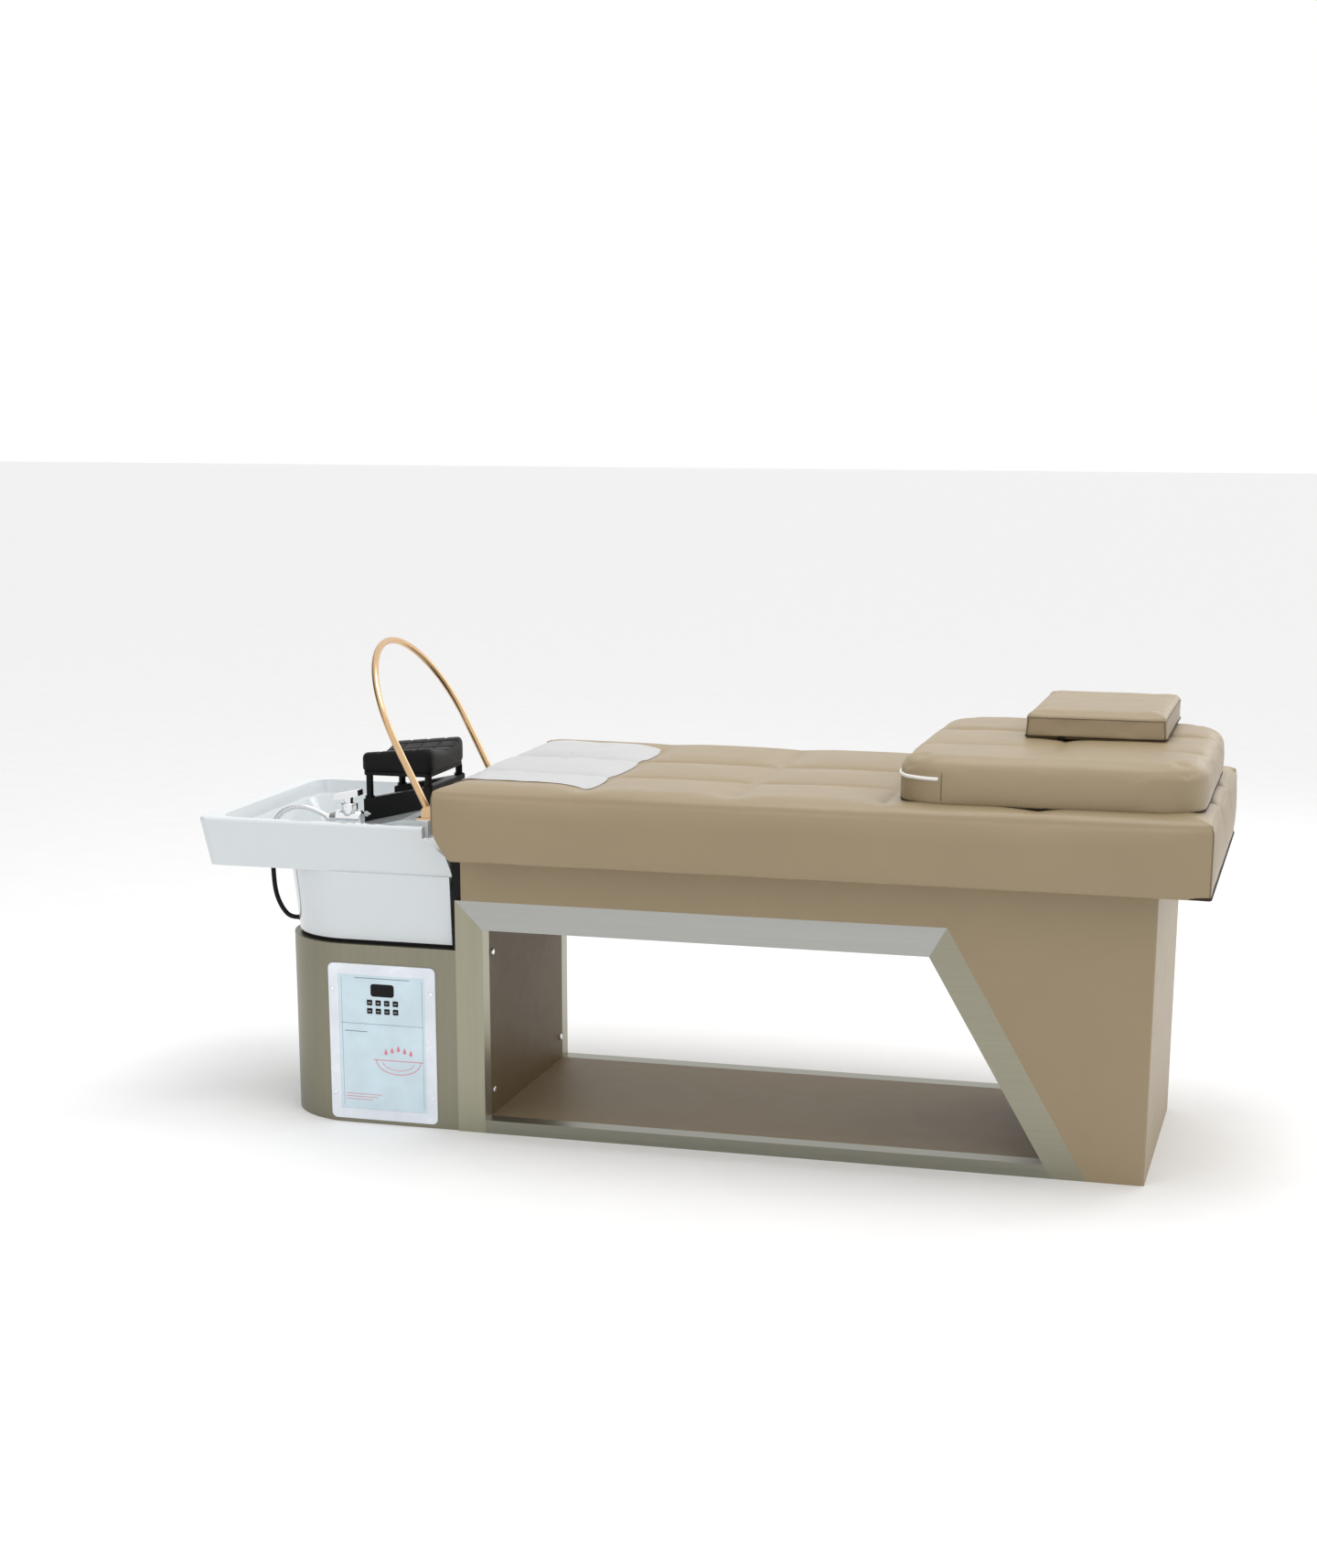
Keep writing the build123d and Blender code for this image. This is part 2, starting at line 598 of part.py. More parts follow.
# ---------------------------------------------------------------- ceramic tub and basin
with BuildPart() as tub:
    for wall, mode in ((0, Mode.ADD), (TUB_WALL, Mode.SUBTRACT)):
        loft(
            sections=[
                plan_face(z, rear_x + wall, TUB_FRONT_X - wall, half - wall, radius - wall)
                for z, rear_x, half, radius in zip((TUB_LOW, TUB_TOP), TUB_REAR_X, TUB_HALF, TUB_RADIUS)
            ],
            mode=mode,
        )
    hole_outside = Vector(*SUPPLY_HOSE[-1]) - hose_end(SUPPLY_HOSE) * 12
    hole_inside = Vector(*SUPPLY_HOSE[-1]) + hose_end(SUPPLY_HOSE) * 30
    rod(hole_outside, hole_inside, GLAND_RADIUS + 0.3, mode=Mode.SUBTRACT)
save(tub.part, "tub")

DRAIN_HOLE = 30                    # radius
PIPE_BORE = SPIGOT_RADIUS - 2.5
SPIGOT_END_X = CABINET_REAR_X - 30
with BuildPart() as basin:
    loft(
        sections=[
            plan_face(TUB_TOP, -1030, -485, 281, 18),
            plan_face(RIM_TOP, BASIN_TIP_X - RIM_OVERRUN, -485, 289, 22),
        ]
    )
    shoulder_points = [
        (DECK_FRONT_X, RIM_TOP + 10), (DECK_FRONT_X, 619), (-526, 605), (-497, 583), (-485, 547),
        (-480, 547), (-480, RIM_TOP + 10),
    ]
    extrude(side_face(shoulder_points, 300), amount=600, mode=Mode.SUBTRACT)
    fillet(basin.faces().sort_by(Axis.Z)[-1].edges().sort_by(Axis.X)[:-1], RIM_FILLET)
    loft(
        sections=[
            plan_face(LEDGE_Z, -1000, -480, 266, 36),
            plan_face(RIM_TOP + 4, -1008, -480, 272, 42),
        ],
        mode=Mode.SUBTRACT,
    )
    ramp_points = [
        (RAMP_X[0], TRAY_Z), (RAMP_X[0], LEDGE_Z), (RAMP_X[1], DECK_Z), (DECK_FRONT_X, DECK_Z),
        (DECK_FRONT_X, 600), (DECK_FRONT_X - 20, TRAY_Z),
    ]
    extrude(side_face(ramp_points, 252), amount=504)
    loft(
        sections=[
            plan_face(LEDGE_Z + 6, -992, -764, 242, 84, 30),
            plan_face(TRAY_Z, -962, -768, 216, 60, 24),
        ],
        mode=Mode.SUBTRACT,
    )
    loft(
        sections=[
            plan_face(TRAY_Z, -888, -756, 212, 72, 30),
            plan_face(BOWL_Z - 12, -867, -773, 162, 44, 24),
        ]
    )
    loft(
        sections=[
            plan_face(TRAY_Z + 1, -876, -768, 200, 52, 24),
            plan_face(BOWL_Z, -855, -785, 150, 32, 16),
        ],
        mode=Mode.SUBTRACT,
    )
    hollow_points = [
        (-742, TUB_TOP - 1), (-742, LEDGE_Z - CERAMIC), (RAMP_X[1], DECK_Z - CERAMIC),
        (DECK_FRONT_X - CERAMIC, DECK_Z - CERAMIC), (DECK_FRONT_X - CERAMIC, 606), (-510, 570),
        (-510, TUB_TOP - 1),
    ]
    extrude(side_face(hollow_points, 236), amount=472, mode=Mode.SUBTRACT)
    rod((DRAIN_X, 0, BOWL_Z - 20), (DRAIN_X, 0, BOWL_Z + 5), DRAIN_HOLE, mode=Mode.SUBTRACT)
    rod((*GROMMET, TUB_TOP - 5), (*GROMMET, TRAY_Z + 5), 10.2, mode=Mode.SUBTRACT)
below_tray = Plane.XY.offset(TUB_TOP)
save(split(basin.part, bisect_by=below_tray, keep=Keep.TOP), "basin")
save(split(basin.part, bisect_by=below_tray, keep=Keep.BOTTOM), "basin_well")

with BuildPart() as drain_flange:
    rod((DRAIN_X, 0, BOWL_Z), (DRAIN_X, 0, BOWL_Z + 2.5), 34)
    rod((DRAIN_X, 0, 404), (DRAIN_X, 0, BOWL_Z), DRAIN_HOLE - 0.5)
    rod((DRAIN_X, 0, 400), (DRAIN_X, 0, BOWL_Z + 3), 25, mode=Mode.SUBTRACT)
    rod((DRAIN_X, 0, BOWL_Z - 2), (DRAIN_X, 0, BOWL_Z + 3), 27.5, mode=Mode.SUBTRACT)
save(drain_flange.part, "drain_flange")

with BuildPart() as strainer:
    rod((DRAIN_X, 0, BOWL_Z - 1.8), (DRAIN_X, 0, BOWL_Z + 1.2), 27)
    with Locations((DRAIN_X, 0, 0)):
        for ring_radius, ring_count in ((9, 6), (18, 12)):
            with PolarLocations(ring_radius, ring_count):
                with Locations((0, 0, BOWL_Z)):
                    Cylinder(2.6, 10, mode=Mode.SUBTRACT)
    rod((DRAIN_X, 0, BOWL_Z + 1.2), (DRAIN_X, 0, BOWL_Z + 9), 4)
save(strainer.part, "strainer")

with BuildPart() as drain_pipe:
    with BuildLine():
        FilletPolyline(
            (DRAIN_X, 0, 404), (DRAIN_X, 0, 190), (-770, SPIGOT_Y, 110), (-770, SPIGOT_Y, SPIGOT_Z),
            (SPIGOT_END_X, SPIGOT_Y, SPIGOT_Z),
            radius=30,
        )
    with BuildSketch(Plane(origin=(DRAIN_X, 0, 404), z_dir=(0, 0, -1))):
        Circle(SPIGOT_RADIUS)
        Circle(PIPE_BORE, mode=Mode.SUBTRACT)
    sweep()
    rod(
        (CABINET_REAR_X - COLLAR, SPIGOT_Y, SPIGOT_Z), (CABINET_REAR_X, SPIGOT_Y, SPIGOT_Z),
        SPIGOT_RADIUS + 7,
    )
    rod(
        (CABINET_REAR_X - COLLAR, SPIGOT_Y, SPIGOT_Z), (CABINET_REAR_X, SPIGOT_Y, SPIGOT_Z),
        PIPE_BORE,
        mode=Mode.SUBTRACT,
    )
save(drain_pipe.part, "drain_pipe")

# ---------------------------------------------------------------- neck rest
POSTS = [(x, y) for x in (-734, -601) for y in (-96, 96)]
POST_BOTTOMS = {-734: 634, -601: 664}
POST_RADIUS = 7.5
NECK_UNDER = 717
NECK_HALF = 108
SIDE_BAR = 30                      # width of the block's two side bars
KNOB = (-735, -NECK_HALF, 636)


def block_top(x):
    """Height of the neck-rest block's sloping top."""
    return 668 + (x + 734) * 0.203


with BuildPart() as neck_base:
    block_points = [
        (-746, ramp_z(-746)), (RAMP_X[1], DECK_Z), (-590, DECK_Z), (-590, block_top(-590)),
        (-746, block_top(-746)),
    ]
    extrude(side_face(block_points, NECK_HALF), amount=2 * NECK_HALF)
    fillet(neck_base.edges().filter_by(Axis.Z), 5)
    bar_inside = NECK_HALF - SIDE_BAR
    box_at((-750, -625), (-bar_inside, bar_inside), (LEDGE_Z, NECK_UNDER), mode=Mode.SUBTRACT)
    for post_x, post_y in POSTS:
        sleeve_top = block_top(post_x) + 4
        rod((post_x, post_y, sleeve_top - 14), (post_x, post_y, sleeve_top), POST_RADIUS + 3)
    for post_x, post_y in POSTS:
        bore_end = (post_x, post_y, POST_BOTTOMS[post_x] - 11)
        rod(bore_end, (post_x, post_y, NECK_UNDER), POST_RADIUS + FIT, mode=Mode.SUBTRACT)
    rod((KNOB[0], KNOB[1] - 1, KNOB[2]), (KNOB[0], KNOB[1] + 4, KNOB[2]), 2.5 + FIT, mode=Mode.SUBTRACT)
save(neck_base.part, "neck_base")

with BuildPart() as neck_frame:
    with BuildSketch(Plane.XY.offset(NECK_UNDER)):
        with Locations((-670, 0)):
            RectangleRounded(152, 208, 10)
    extrude(amount=8)
    for post_x, post_y in POSTS:
        rod((post_x, post_y, POST_BOTTOMS[post_x]), (post_x, post_y, NECK_UNDER + 1), POST_RADIUS)
save(neck_frame.part, "neck_frame")

with BuildPart() as neck_pad:
    pad_points = [(-750, NECK_UNDER + 8), (-590, NECK_UNDER + 8), (-590, 780), (-750, 762)]
    extrude(side_face(pad_points, NECK_HALF), amount=2 * NECK_HALF)
    rod((-760, 0, 845), (-580, 0, 859), 96, mode=Mode.SUBTRACT)
    fillet(neck_pad.edges().filter_by(Axis.Z), 12)
save(neck_pad.part, "neck_pad")

with BuildPart() as neck_knob:
    rod((KNOB[0], KNOB[1] + 3.5, KNOB[2]), (KNOB[0], KNOB[1] - 4, KNOB[2]), 2.5)
    rod((KNOB[0], KNOB[1] - 1, KNOB[2]), (KNOB[0], KNOB[1] - 9, KNOB[2]), 6)
    box_at((KNOB[0] - 9, KNOB[0] + 9), (KNOB[1] - 8, KNOB[1] - 4), (KNOB[2] - 2, KNOB[2] + 2))
save(neck_knob.part, "neck_knob")

# ---------------------------------------------------------------- water arch
ARCH_PLANE = Plane(
    origin=(ARCH_X, 0, ARCH_Z), x_dir=(0, 1, 0), z_dir=(math.cos(ARCH_TILT), 0, math.sin(ARCH_TILT))
)
ARCH_PIN = 4
with BuildPart() as arch_tube:
    with BuildLine(ARCH_PLANE) as arch_line:
        near_leg = Line((-ARCH_HALF, 10), (-ARCH_HALF, ARCH_LEG))
        hoop = ThreePointArc(near_leg @ 1, (0, ARCH_LEG + ARCH_HALF), (ARCH_HALF, ARCH_LEG))
        Line(hoop @ 1, (ARCH_HALF, 10))
    with BuildSketch(Plane(origin=arch_line.line @ 0, z_dir=arch_line.line % 0)):
        Circle(ARCH_TUBE)
        Circle(ARCH_TUBE - 1.5, mode=Mode.SUBTRACT)
    sweep()
    for side in (-1, 1):
        eye = side * ARCH_HALF
        rod((ARCH_X, eye - 8, ARCH_Z), (ARCH_X, eye + 8, ARCH_Z), 11.5)
        rod((ARCH_X, eye - 9, ARCH_Z), (ARCH_X, eye + 9, ARCH_Z), ARCH_PIN + FIT, mode=Mode.SUBTRACT)
save(arch_tube.part, "arch_tube")

with BuildPart() as arch_brackets:
    for side in (-1, 1):
        lug = sorted((side * (ARCH_HALF + 8.5), side * (ARCH_HALF + 14)))
        head = sorted((side * (ARCH_HALF - 8.5), side * (ARCH_HALF - 12)))
        box_at((ARCH_X - 11, ARCH_X + 11), lug, (DECK_Z + 3, ARCH_Z))
        rod((ARCH_X, lug[0], ARCH_Z), (ARCH_X, lug[1], ARCH_Z), 11)
        rod((ARCH_X, head[0], ARCH_Z), (ARCH_X, head[1], ARCH_Z), 6.5)
        pin_ends = sorted((lug[0], head[0]))
        rod((ARCH_X, pin_ends[0], ARCH_Z), (ARCH_X, pin_ends[1] + 2, ARCH_Z), ARCH_PIN)
        foot = sorted((side * (ARCH_HALF - 13), side * (ARCH_HALF + 18)))
        box_at((ARCH_X - 20, ARCH_X + 11), foot, (DECK_Z, DECK_Z + 3))
save(arch_brackets.part, "arch_brackets")

# ---------------------------------------------------------------- mixer and hoses
TURRET_TOP = 660
PIVOT_Z = 668
BARREL_RADIUS = 17
LEVER_HALF = 7.4                   # half width of the lever where it stands in the cap's slot
with BuildPart() as mixer_body:
    rod((-764, MIXER[1], BARREL_Z), (-709, MIXER[1], BARREL_Z), BARREL_RADIUS)
    fillet(mixer_body.edges().filter_by(GeomType.CIRCLE).group_by(Axis.X)[-1], 4)
    with Locations(Plane(origin=(-780, MIXER[1], BARREL_Z), z_dir=(1, 0, 0))):
        Cone(11, BARREL_RADIUS, 16, align=(Align.CENTER, Align.CENTER, Align.MIN))
    rod(MIXER_HOSE[-1], Vector(*MIXER_HOSE[-1]) + hose_end(MIXER_HOSE) * 14, 10)
    rod((*MIXER, 610), (*MIXER, TURRET_TOP), 16)
    rod((*MIXER, 610), (*MIXER, 622), 21)
    rod((*MIXER, TURRET_TOP - 8), (*MIXER, TURRET_TOP + 1), 6 + FIT, mode=Mode.SUBTRACT)
    under_ramp = [
        (-790, 600), (-690, 600), (-690, ramp_z(-690)), (RAMP_X[0], LEDGE_Z), (-790, LEDGE_Z),
    ]
    extrude(side_face(under_ramp, MIXER[1] + 45), amount=90, mode=Mode.SUBTRACT)
save(mixer_body.part, "mixer_body")

with BuildPart() as mixer_cap:
    rod((*MIXER, TURRET_TOP + 0.3), (*MIXER, 674), 18)
    rod((*MIXER, TURRET_TOP - 7), (*MIXER, TURRET_TOP + 1), 6)
    fillet(mixer_cap.edges().filter_by(GeomType.CIRCLE).group_by(Axis.Z)[-1], 3)
    slot_x = (MIXER[0] - 12, MIXER[0] + 12)
    slot_y = (MIXER[1] - LEVER_HALF - 0.6, MIXER[1] + LEVER_HALF + 0.6)
    box_at(slot_x, slot_y, (TURRET_TOP + 2.5, 680), mode=Mode.SUBTRACT)
    rod(
        (MIXER[0], MIXER[1] - 20, PIVOT_Z), (MIXER[0], MIXER[1] + 20, PIVOT_Z), 2 + FIT,
        mode=Mode.SUBTRACT,
    )
save(mixer_cap.part, "mixer_cap")

with BuildPart() as mixer_lever:
    rod((MIXER[0], MIXER[1] - LEVER_HALF, PIVOT_Z), (MIXER[0], MIXER[1] + LEVER_HALF, PIVOT_Z), 5)
    rod((MIXER[0], MIXER[1] - 15, PIVOT_Z), (MIXER[0], MIXER[1] + 15, PIVOT_Z), 2)
    neck_points = [
        (MIXER[0] - 5, PIVOT_Z), (MIXER[0] + 5, PIVOT_Z), (MIXER[0] + 7, 692), (MIXER[0] - 8, 688),
    ]
    extrude(side_face(neck_points, MIXER[1] + LEVER_HALF), amount=2 * LEVER_HALF)
    paddle_points = [
        (MIXER[0] - 31, 678), (MIXER[0] + 26, 690), (MIXER[0] + 25, 702), (MIXER[0] - 28, 691),
    ]
    paddle_half = 15
    extrude(side_face(paddle_points, MIXER[1] + paddle_half), amount=2 * paddle_half)
    fillet(mixer_lever.edges().group_by(Axis.X)[0], 3)
save(mixer_lever.part, "mixer_lever")

with BuildPart() as hose_grommet:
    rod((*GROMMET, TRAY_Z), (*GROMMET, TRAY_Z + 4), 17)
    rod((*GROMMET, TRAY_Z), (*GROMMET, GROMMET_TOP), 11)
    rod((*GROMMET, GROMMET_LOW), (*GROMMET, TRAY_Z), 10)
    rod((*GROMMET, TUB_TOP - 6), (*GROMMET, TUB_TOP), 15)
save(hose_grommet.part, "hose_grommet")
save(hose(MIXER_HOSE, 6), "mixer_hose")
save(hose(SUPPLY_HOSE, 5), "supply_hose")

with BuildPart() as hose_gland:
    rod(SUPPLY_HOSE[-1], Vector(*SUPPLY_HOSE[-1]) + hose_end(SUPPLY_HOSE) * 24, GLAND_RADIUS)
save(hose_gland.part, "hose_gland")

# ---------------------------------------------------------------- plumbing in the cabinet
THREAD = 15                        # length of the inlets' thread
with BuildPart() as inlet_nipples:
    for inlet_y in INLET_Y:
        nipple_x = (CABINET_REAR_X - COLLAR - THREAD, CABINET_REAR_X + SHEET)
        for start_x, end_x, radius in (
            (*nipple_x, INLET_RADIUS),
            (CABINET_REAR_X - COLLAR, CABINET_REAR_X, 15),
            (nipple_x[1], nipple_x[1] + 6, 15),
        ):
            rod((start_x, inlet_y, INLET_Z), (end_x, inlet_y, INLET_Z), radius)
        rod(
            (nipple_x[0] - 1, inlet_y, INLET_Z), (nipple_x[1] + 7, inlet_y, INLET_Z), 7,
            mode=Mode.SUBTRACT,
        )
save(inlet_nipples.part, "inlet_nipples")

with BuildPart() as power_inlet:
    box_at((CABINET_REAR_X - 2, CABINET_REAR_X), (-27, 27), (28, 62))
    box_at((CABINET_REAR_X, CABINET_REAR_X + 22), (-23, 23), (32, 58))
    box_at((CABINET_REAR_X - 3, CABINET_REAR_X + 14), (-13, 13), (37, 53), mode=Mode.SUBTRACT)
save(power_inlet.part, "power_inlet")

with BuildPart() as water_tank:
    box_at((-715, -535), (60, 262), (FLOOR_Z[1], 232))
    fillet(water_tank.edges().filter_by(Axis.Z), 18)
    rod((-625, 160, 232), (-625, 160, 246), 32)
    rod((-690, 235, 232), (-690, 235, 262), 9)
save(water_tank.part, "water_tank")

with BuildPart() as circulation_pump:
    rod((-690, -60, 78), (-590, -60, 78), 42)
    rod((-590, -60, 78), (-552, -60, 78), 50)
    rod((-571, -60, 78), (-571, -60, 148), 12)
    box_at((-680, -560), (-100, -20), (FLOOR_Z[1], 40))
save(circulation_pump.part, "circulation_pump")
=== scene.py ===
import math

import bmesh
import bpy
import numpy as np
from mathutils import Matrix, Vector, noise
from mathutils.bvhtree import BVHTree


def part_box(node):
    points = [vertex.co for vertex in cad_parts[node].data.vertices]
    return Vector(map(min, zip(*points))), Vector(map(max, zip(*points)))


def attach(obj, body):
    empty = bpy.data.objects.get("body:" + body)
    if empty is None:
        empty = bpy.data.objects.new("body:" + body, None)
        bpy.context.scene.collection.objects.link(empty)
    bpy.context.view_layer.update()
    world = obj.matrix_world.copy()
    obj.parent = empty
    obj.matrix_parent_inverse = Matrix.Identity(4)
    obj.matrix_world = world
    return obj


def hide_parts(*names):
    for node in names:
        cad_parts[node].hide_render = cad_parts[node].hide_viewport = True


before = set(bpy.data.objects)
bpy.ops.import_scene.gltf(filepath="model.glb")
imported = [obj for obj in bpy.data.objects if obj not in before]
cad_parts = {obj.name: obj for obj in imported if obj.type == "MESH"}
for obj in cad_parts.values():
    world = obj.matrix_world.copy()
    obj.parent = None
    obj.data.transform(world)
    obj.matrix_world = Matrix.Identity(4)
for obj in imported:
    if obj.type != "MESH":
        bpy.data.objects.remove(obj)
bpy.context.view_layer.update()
scene = bpy.context.scene

# ------------------------------------------------------------------ camera, light and floor
AZIMUTH = math.radians(15.65)
ELEVATION = math.radians(14.8)
CAMERA_PLACE = (1.2974, -5.166, 1.5339)
FOCAL_LENGTH = 58.7
SHIFT = (0.0085, 0.1724)
FLOOR_REACH = 40.0
FAR_CLIP = 60.0


def make_camera():
    data = bpy.data.cameras.new("camera")
    data.sensor_width = 36.0
    data.lens = FOCAL_LENGTH
    data.shift_x, data.shift_y = SHIFT
    data.clip_end = FAR_CLIP
    camera = bpy.data.objects.new("camera", data)
    camera.location = CAMERA_PLACE
    camera.rotation_euler = (math.pi / 2 - ELEVATION, 0, AZIMUTH)
    scene.collection.objects.link(camera)
    scene.camera = camera


def make_area_light(name, place, target, size, power):
    data = bpy.data.lights.new(name, "AREA")
    data.shape = "RECTANGLE"
    data.size, data.size_y = size
    data.energy = power
    light = bpy.data.objects.new(name, data)
    light.location = place
    light.rotation_euler = (Vector(target) - Vector(place)).to_track_quat("-Z", "Y").to_euler()
    scene.collection.objects.link(light)


def make_studio():
    """A white floor and surround, dimmer on the head side, and two soft lights."""
    scene.view_settings.view_transform = "Standard"
    world = bpy.data.worlds.new("studio")
    scene.world = world
    world.use_nodes = True
    tree = world.node_tree
    background = tree.nodes["Background"]
    sky = node(tree, "ShaderNodeTexCoord")
    split = node(tree, "ShaderNodeSeparateXYZ")
    tree.links.new(sky.outputs["Generated"], split.inputs["Vector"])
    side = ramp(tree, split.outputs["X"], 0.0, 1.0, -0.95, -0.5)
    tree.links.new(mix_colour(tree, side, (0.10, 0.095, 0.08), (1.0, 1.0, 1.0)), background.inputs["Color"])
    background.inputs["Strength"].default_value = 1.0
    make_area_light("key", (0.3, -0.2, 3.4), (0, 0, 0.6), (2.2, 1.4), 40)
    make_area_light("rim", (2.4, 3.0, 2.4), (0.3, 0, 0.6), (2.0, 1.6), 20)
    corners = [
        (side_x * FLOOR_REACH, side_y * FLOOR_REACH, 0)
        for side_x, side_y in ((-1, -1), (1, -1), (1, 1), (-1, 1))
    ]
    sheet = bpy.data.meshes.new("floor")
    sheet.from_pydata(corners, [], [(0, 1, 2, 3)])
    floor = bpy.data.objects.new("floor", sheet)
    scene.collection.objects.link(floor)
    floor.data.materials.append(plain("floor_paint", (0.97, 0.97, 0.97), 0.8))


# ------------------------------------------------------------------ materials
def new_material(name):
    material = bpy.data.materials.new(name)
    material.use_nodes = True
    tree = material.node_tree
    return material, tree, tree.nodes["Principled BSDF"]


def node(tree, kind, **settings):
    made = tree.nodes.new(kind)
    for key, value in settings.items():
        if key in made.inputs:
            made.inputs[key].default_value = value
        else:
            setattr(made, key, value)
    return made


def object_coordinates(tree, scale=(1, 1, 1), rotation=(0, 0, 0)):
    coordinates = node(tree, "ShaderNodeTexCoord")
    mapping = node(tree, "ShaderNodeMapping", Scale=scale, Rotation=rotation)
    tree.links.new(coordinates.outputs["Object"], mapping.inputs["Vector"])
    return mapping.outputs["Vector"]


def ramp(tree, factor, low, high, start=0.0, end=1.0):
    made = node(tree, "ShaderNodeMapRange")
    made.inputs["From Min"].default_value = start
    made.inputs["From Max"].default_value = end
    made.inputs["To Min"].default_value = low
    made.inputs["To Max"].default_value = high
    tree.links.new(factor, made.inputs["Value"])
    return made.outputs["Result"]


def mix_colour(tree, factor, first, second):
    made = node(tree, "ShaderNodeMix", data_type="RGBA")
    tree.links.new(factor, made.inputs["Factor"])
    made.inputs["A"].default_value = (*first, 1)
    made.inputs["B"].default_value = (*second, 1)
    return made.outputs["Result"]


def bump(tree, height, strength, distance, below=None):
    made = node(tree, "ShaderNodeBump")
    made.inputs["Strength"].default_value = strength
    made.inputs["Distance"].default_value = distance
    tree.links.new(height, made.inputs["Height"])
    if below is not None:
        tree.links.new(below, made.inputs["Normal"])
    return made.outputs["Normal"]


def shade(colour, factor):
    return tuple(min(1.0, channel * factor) for channel in colour)


def plain(name, colour, roughness):
    """Paint or plastic with a faint unevenness in tone and gloss."""
    material, tree, shader = new_material(name)
    place = object_coordinates(tree)
    cloud = node(tree, "ShaderNodeTexNoise", Scale=9.0, Detail=4.0)
    tree.links.new(place, cloud.inputs["Vector"])
    tree.links.new(
        mix_colour(tree, cloud.outputs["Fac"], shade(colour, 0.97), shade(colour, 1.02)),
        shader.inputs["Base Color"],
    )
    tree.links.new(
        ramp(tree, cloud.outputs["Fac"], roughness - 0.04, roughness + 0.05), shader.inputs["Roughness"]
    )
    return material


def leatherette(name, colour, roughness=0.42, grain=620.0, depth=0.00022):
    """Coated upholstery: fine pebble grain, faint creases and a slight change of tone."""
    material, tree, shader = new_material(name)
    place = object_coordinates(tree)
    tone = node(tree, "ShaderNodeTexNoise", Scale=5.0, Detail=3.0)
    pebble = node(tree, "ShaderNodeTexVoronoi", feature="DISTANCE_TO_EDGE", Scale=grain)
    pore = node(tree, "ShaderNodeTexNoise", Scale=grain * 2.2, Detail=2.0)
    crease = node(tree, "ShaderNodeTexNoise", Scale=26.0, Detail=5.0, Distortion=0.6)
    for texture in (tone, pebble, pore, crease):
        tree.links.new(place, texture.inputs["Vector"])
    base = mix_colour(tree, tone.outputs["Fac"], shade(colour, 0.94), shade(colour, 1.05))
    # The valleys between the pebbles are multiplied darker: painted shade in the grain.
    valley_shade = node(tree, "ShaderNodeMix", data_type="RGBA", blend_type="MULTIPLY")
    tree.links.new(ramp(tree, pebble.outputs["Distance"], 0.22, 0.0, 0.0, 0.12), valley_shade.inputs["Factor"])
    tree.links.new(base, valley_shade.inputs["A"])
    valley_shade.inputs["B"].default_value = (0.62, 0.58, 0.54, 1)
    tree.links.new(valley_shade.outputs["Result"], shader.inputs["Base Color"])
    tree.links.new(
        ramp(tree, crease.outputs["Fac"], roughness - 0.05, roughness + 0.08), shader.inputs["Roughness"]
    )
    soft = bump(tree, crease.outputs["Fac"], 0.22, 0.0016)
    pores = bump(tree, pore.outputs["Fac"], 0.25, depth * 0.5, soft)
    cells = bump(tree, ramp(tree, pebble.outputs["Distance"], 0.0, 1.0, 0.0, 0.16), 0.5, depth, pores)
    tree.links.new(cells, shader.inputs["Normal"])
    shader.inputs["Coat Weight"].default_value = 0.12
    shader.inputs["Coat Roughness"].default_value = 0.35
    return material


def brushed(name, colour, along, roughness=0.3, rotation=(0, 0, 0)):
    """Steel brushed along one axis: long fine scratches, blurred gloss and a few deeper lines."""
    material, tree, shader = new_material(name)
    stretch = [900.0, 900.0, 900.0]
    stretch[along] = 5.0
    place = object_coordinates(tree, stretch, rotation)
    coarse = [120.0, 120.0, 120.0]
    coarse[along] = 1.2
    lines_place = object_coordinates(tree, coarse, rotation)
    scratch = node(tree, "ShaderNodeTexNoise", Scale=1.0, Detail=3.0)
    lines = node(tree, "ShaderNodeTexNoise", Scale=1.0, Detail=2.0)
    tree.links.new(place, scratch.inputs["Vector"])
    tree.links.new(lines_place, lines.inputs["Vector"])
    streak = node(tree, "ShaderNodeMath", operation="ADD")
    tree.links.new(ramp(tree, scratch.outputs["Fac"], 0.0, 0.6), streak.inputs[0])
    tree.links.new(ramp(tree, lines.outputs["Fac"], 0.0, 0.4), streak.inputs[1])
    tree.links.new(
        mix_colour(tree, streak.outputs[0], shade(colour, 0.82), shade(colour, 1.12)),
        shader.inputs["Base Color"],
    )
    shader.inputs["Metallic"].default_value = 1.0
    tree.links.new(
        ramp(tree, streak.outputs[0], roughness - 0.06, roughness + 0.12), shader.inputs["Roughness"]
    )
    tree.links.new(bump(tree, scratch.outputs["Fac"], 0.25, 0.00012), shader.inputs["Normal"])
    return material


def polished(name, colour, roughness):
    """Plated metal with faint wipe marks in its gloss."""
    material, tree, shader = new_material(name)
    place = object_coordinates(tree)
    marks = node(tree, "ShaderNodeTexNoise", Scale=38.0, Detail=5.0, Distortion=0.8)
    tree.links.new(place, marks.inputs["Vector"])
    tree.links.new(
        mix_colour(tree, marks.outputs["Fac"], shade(colour, 0.95), shade(colour, 1.03)),
        shader.inputs["Base Color"],
    )
    shader.inputs["Metallic"].default_value = 1.0
    tree.links.new(
        ramp(tree, marks.outputs["Fac"], max(0.02, roughness - 0.04), roughness + 0.06),
        shader.inputs["Roughness"],
    )
    return material


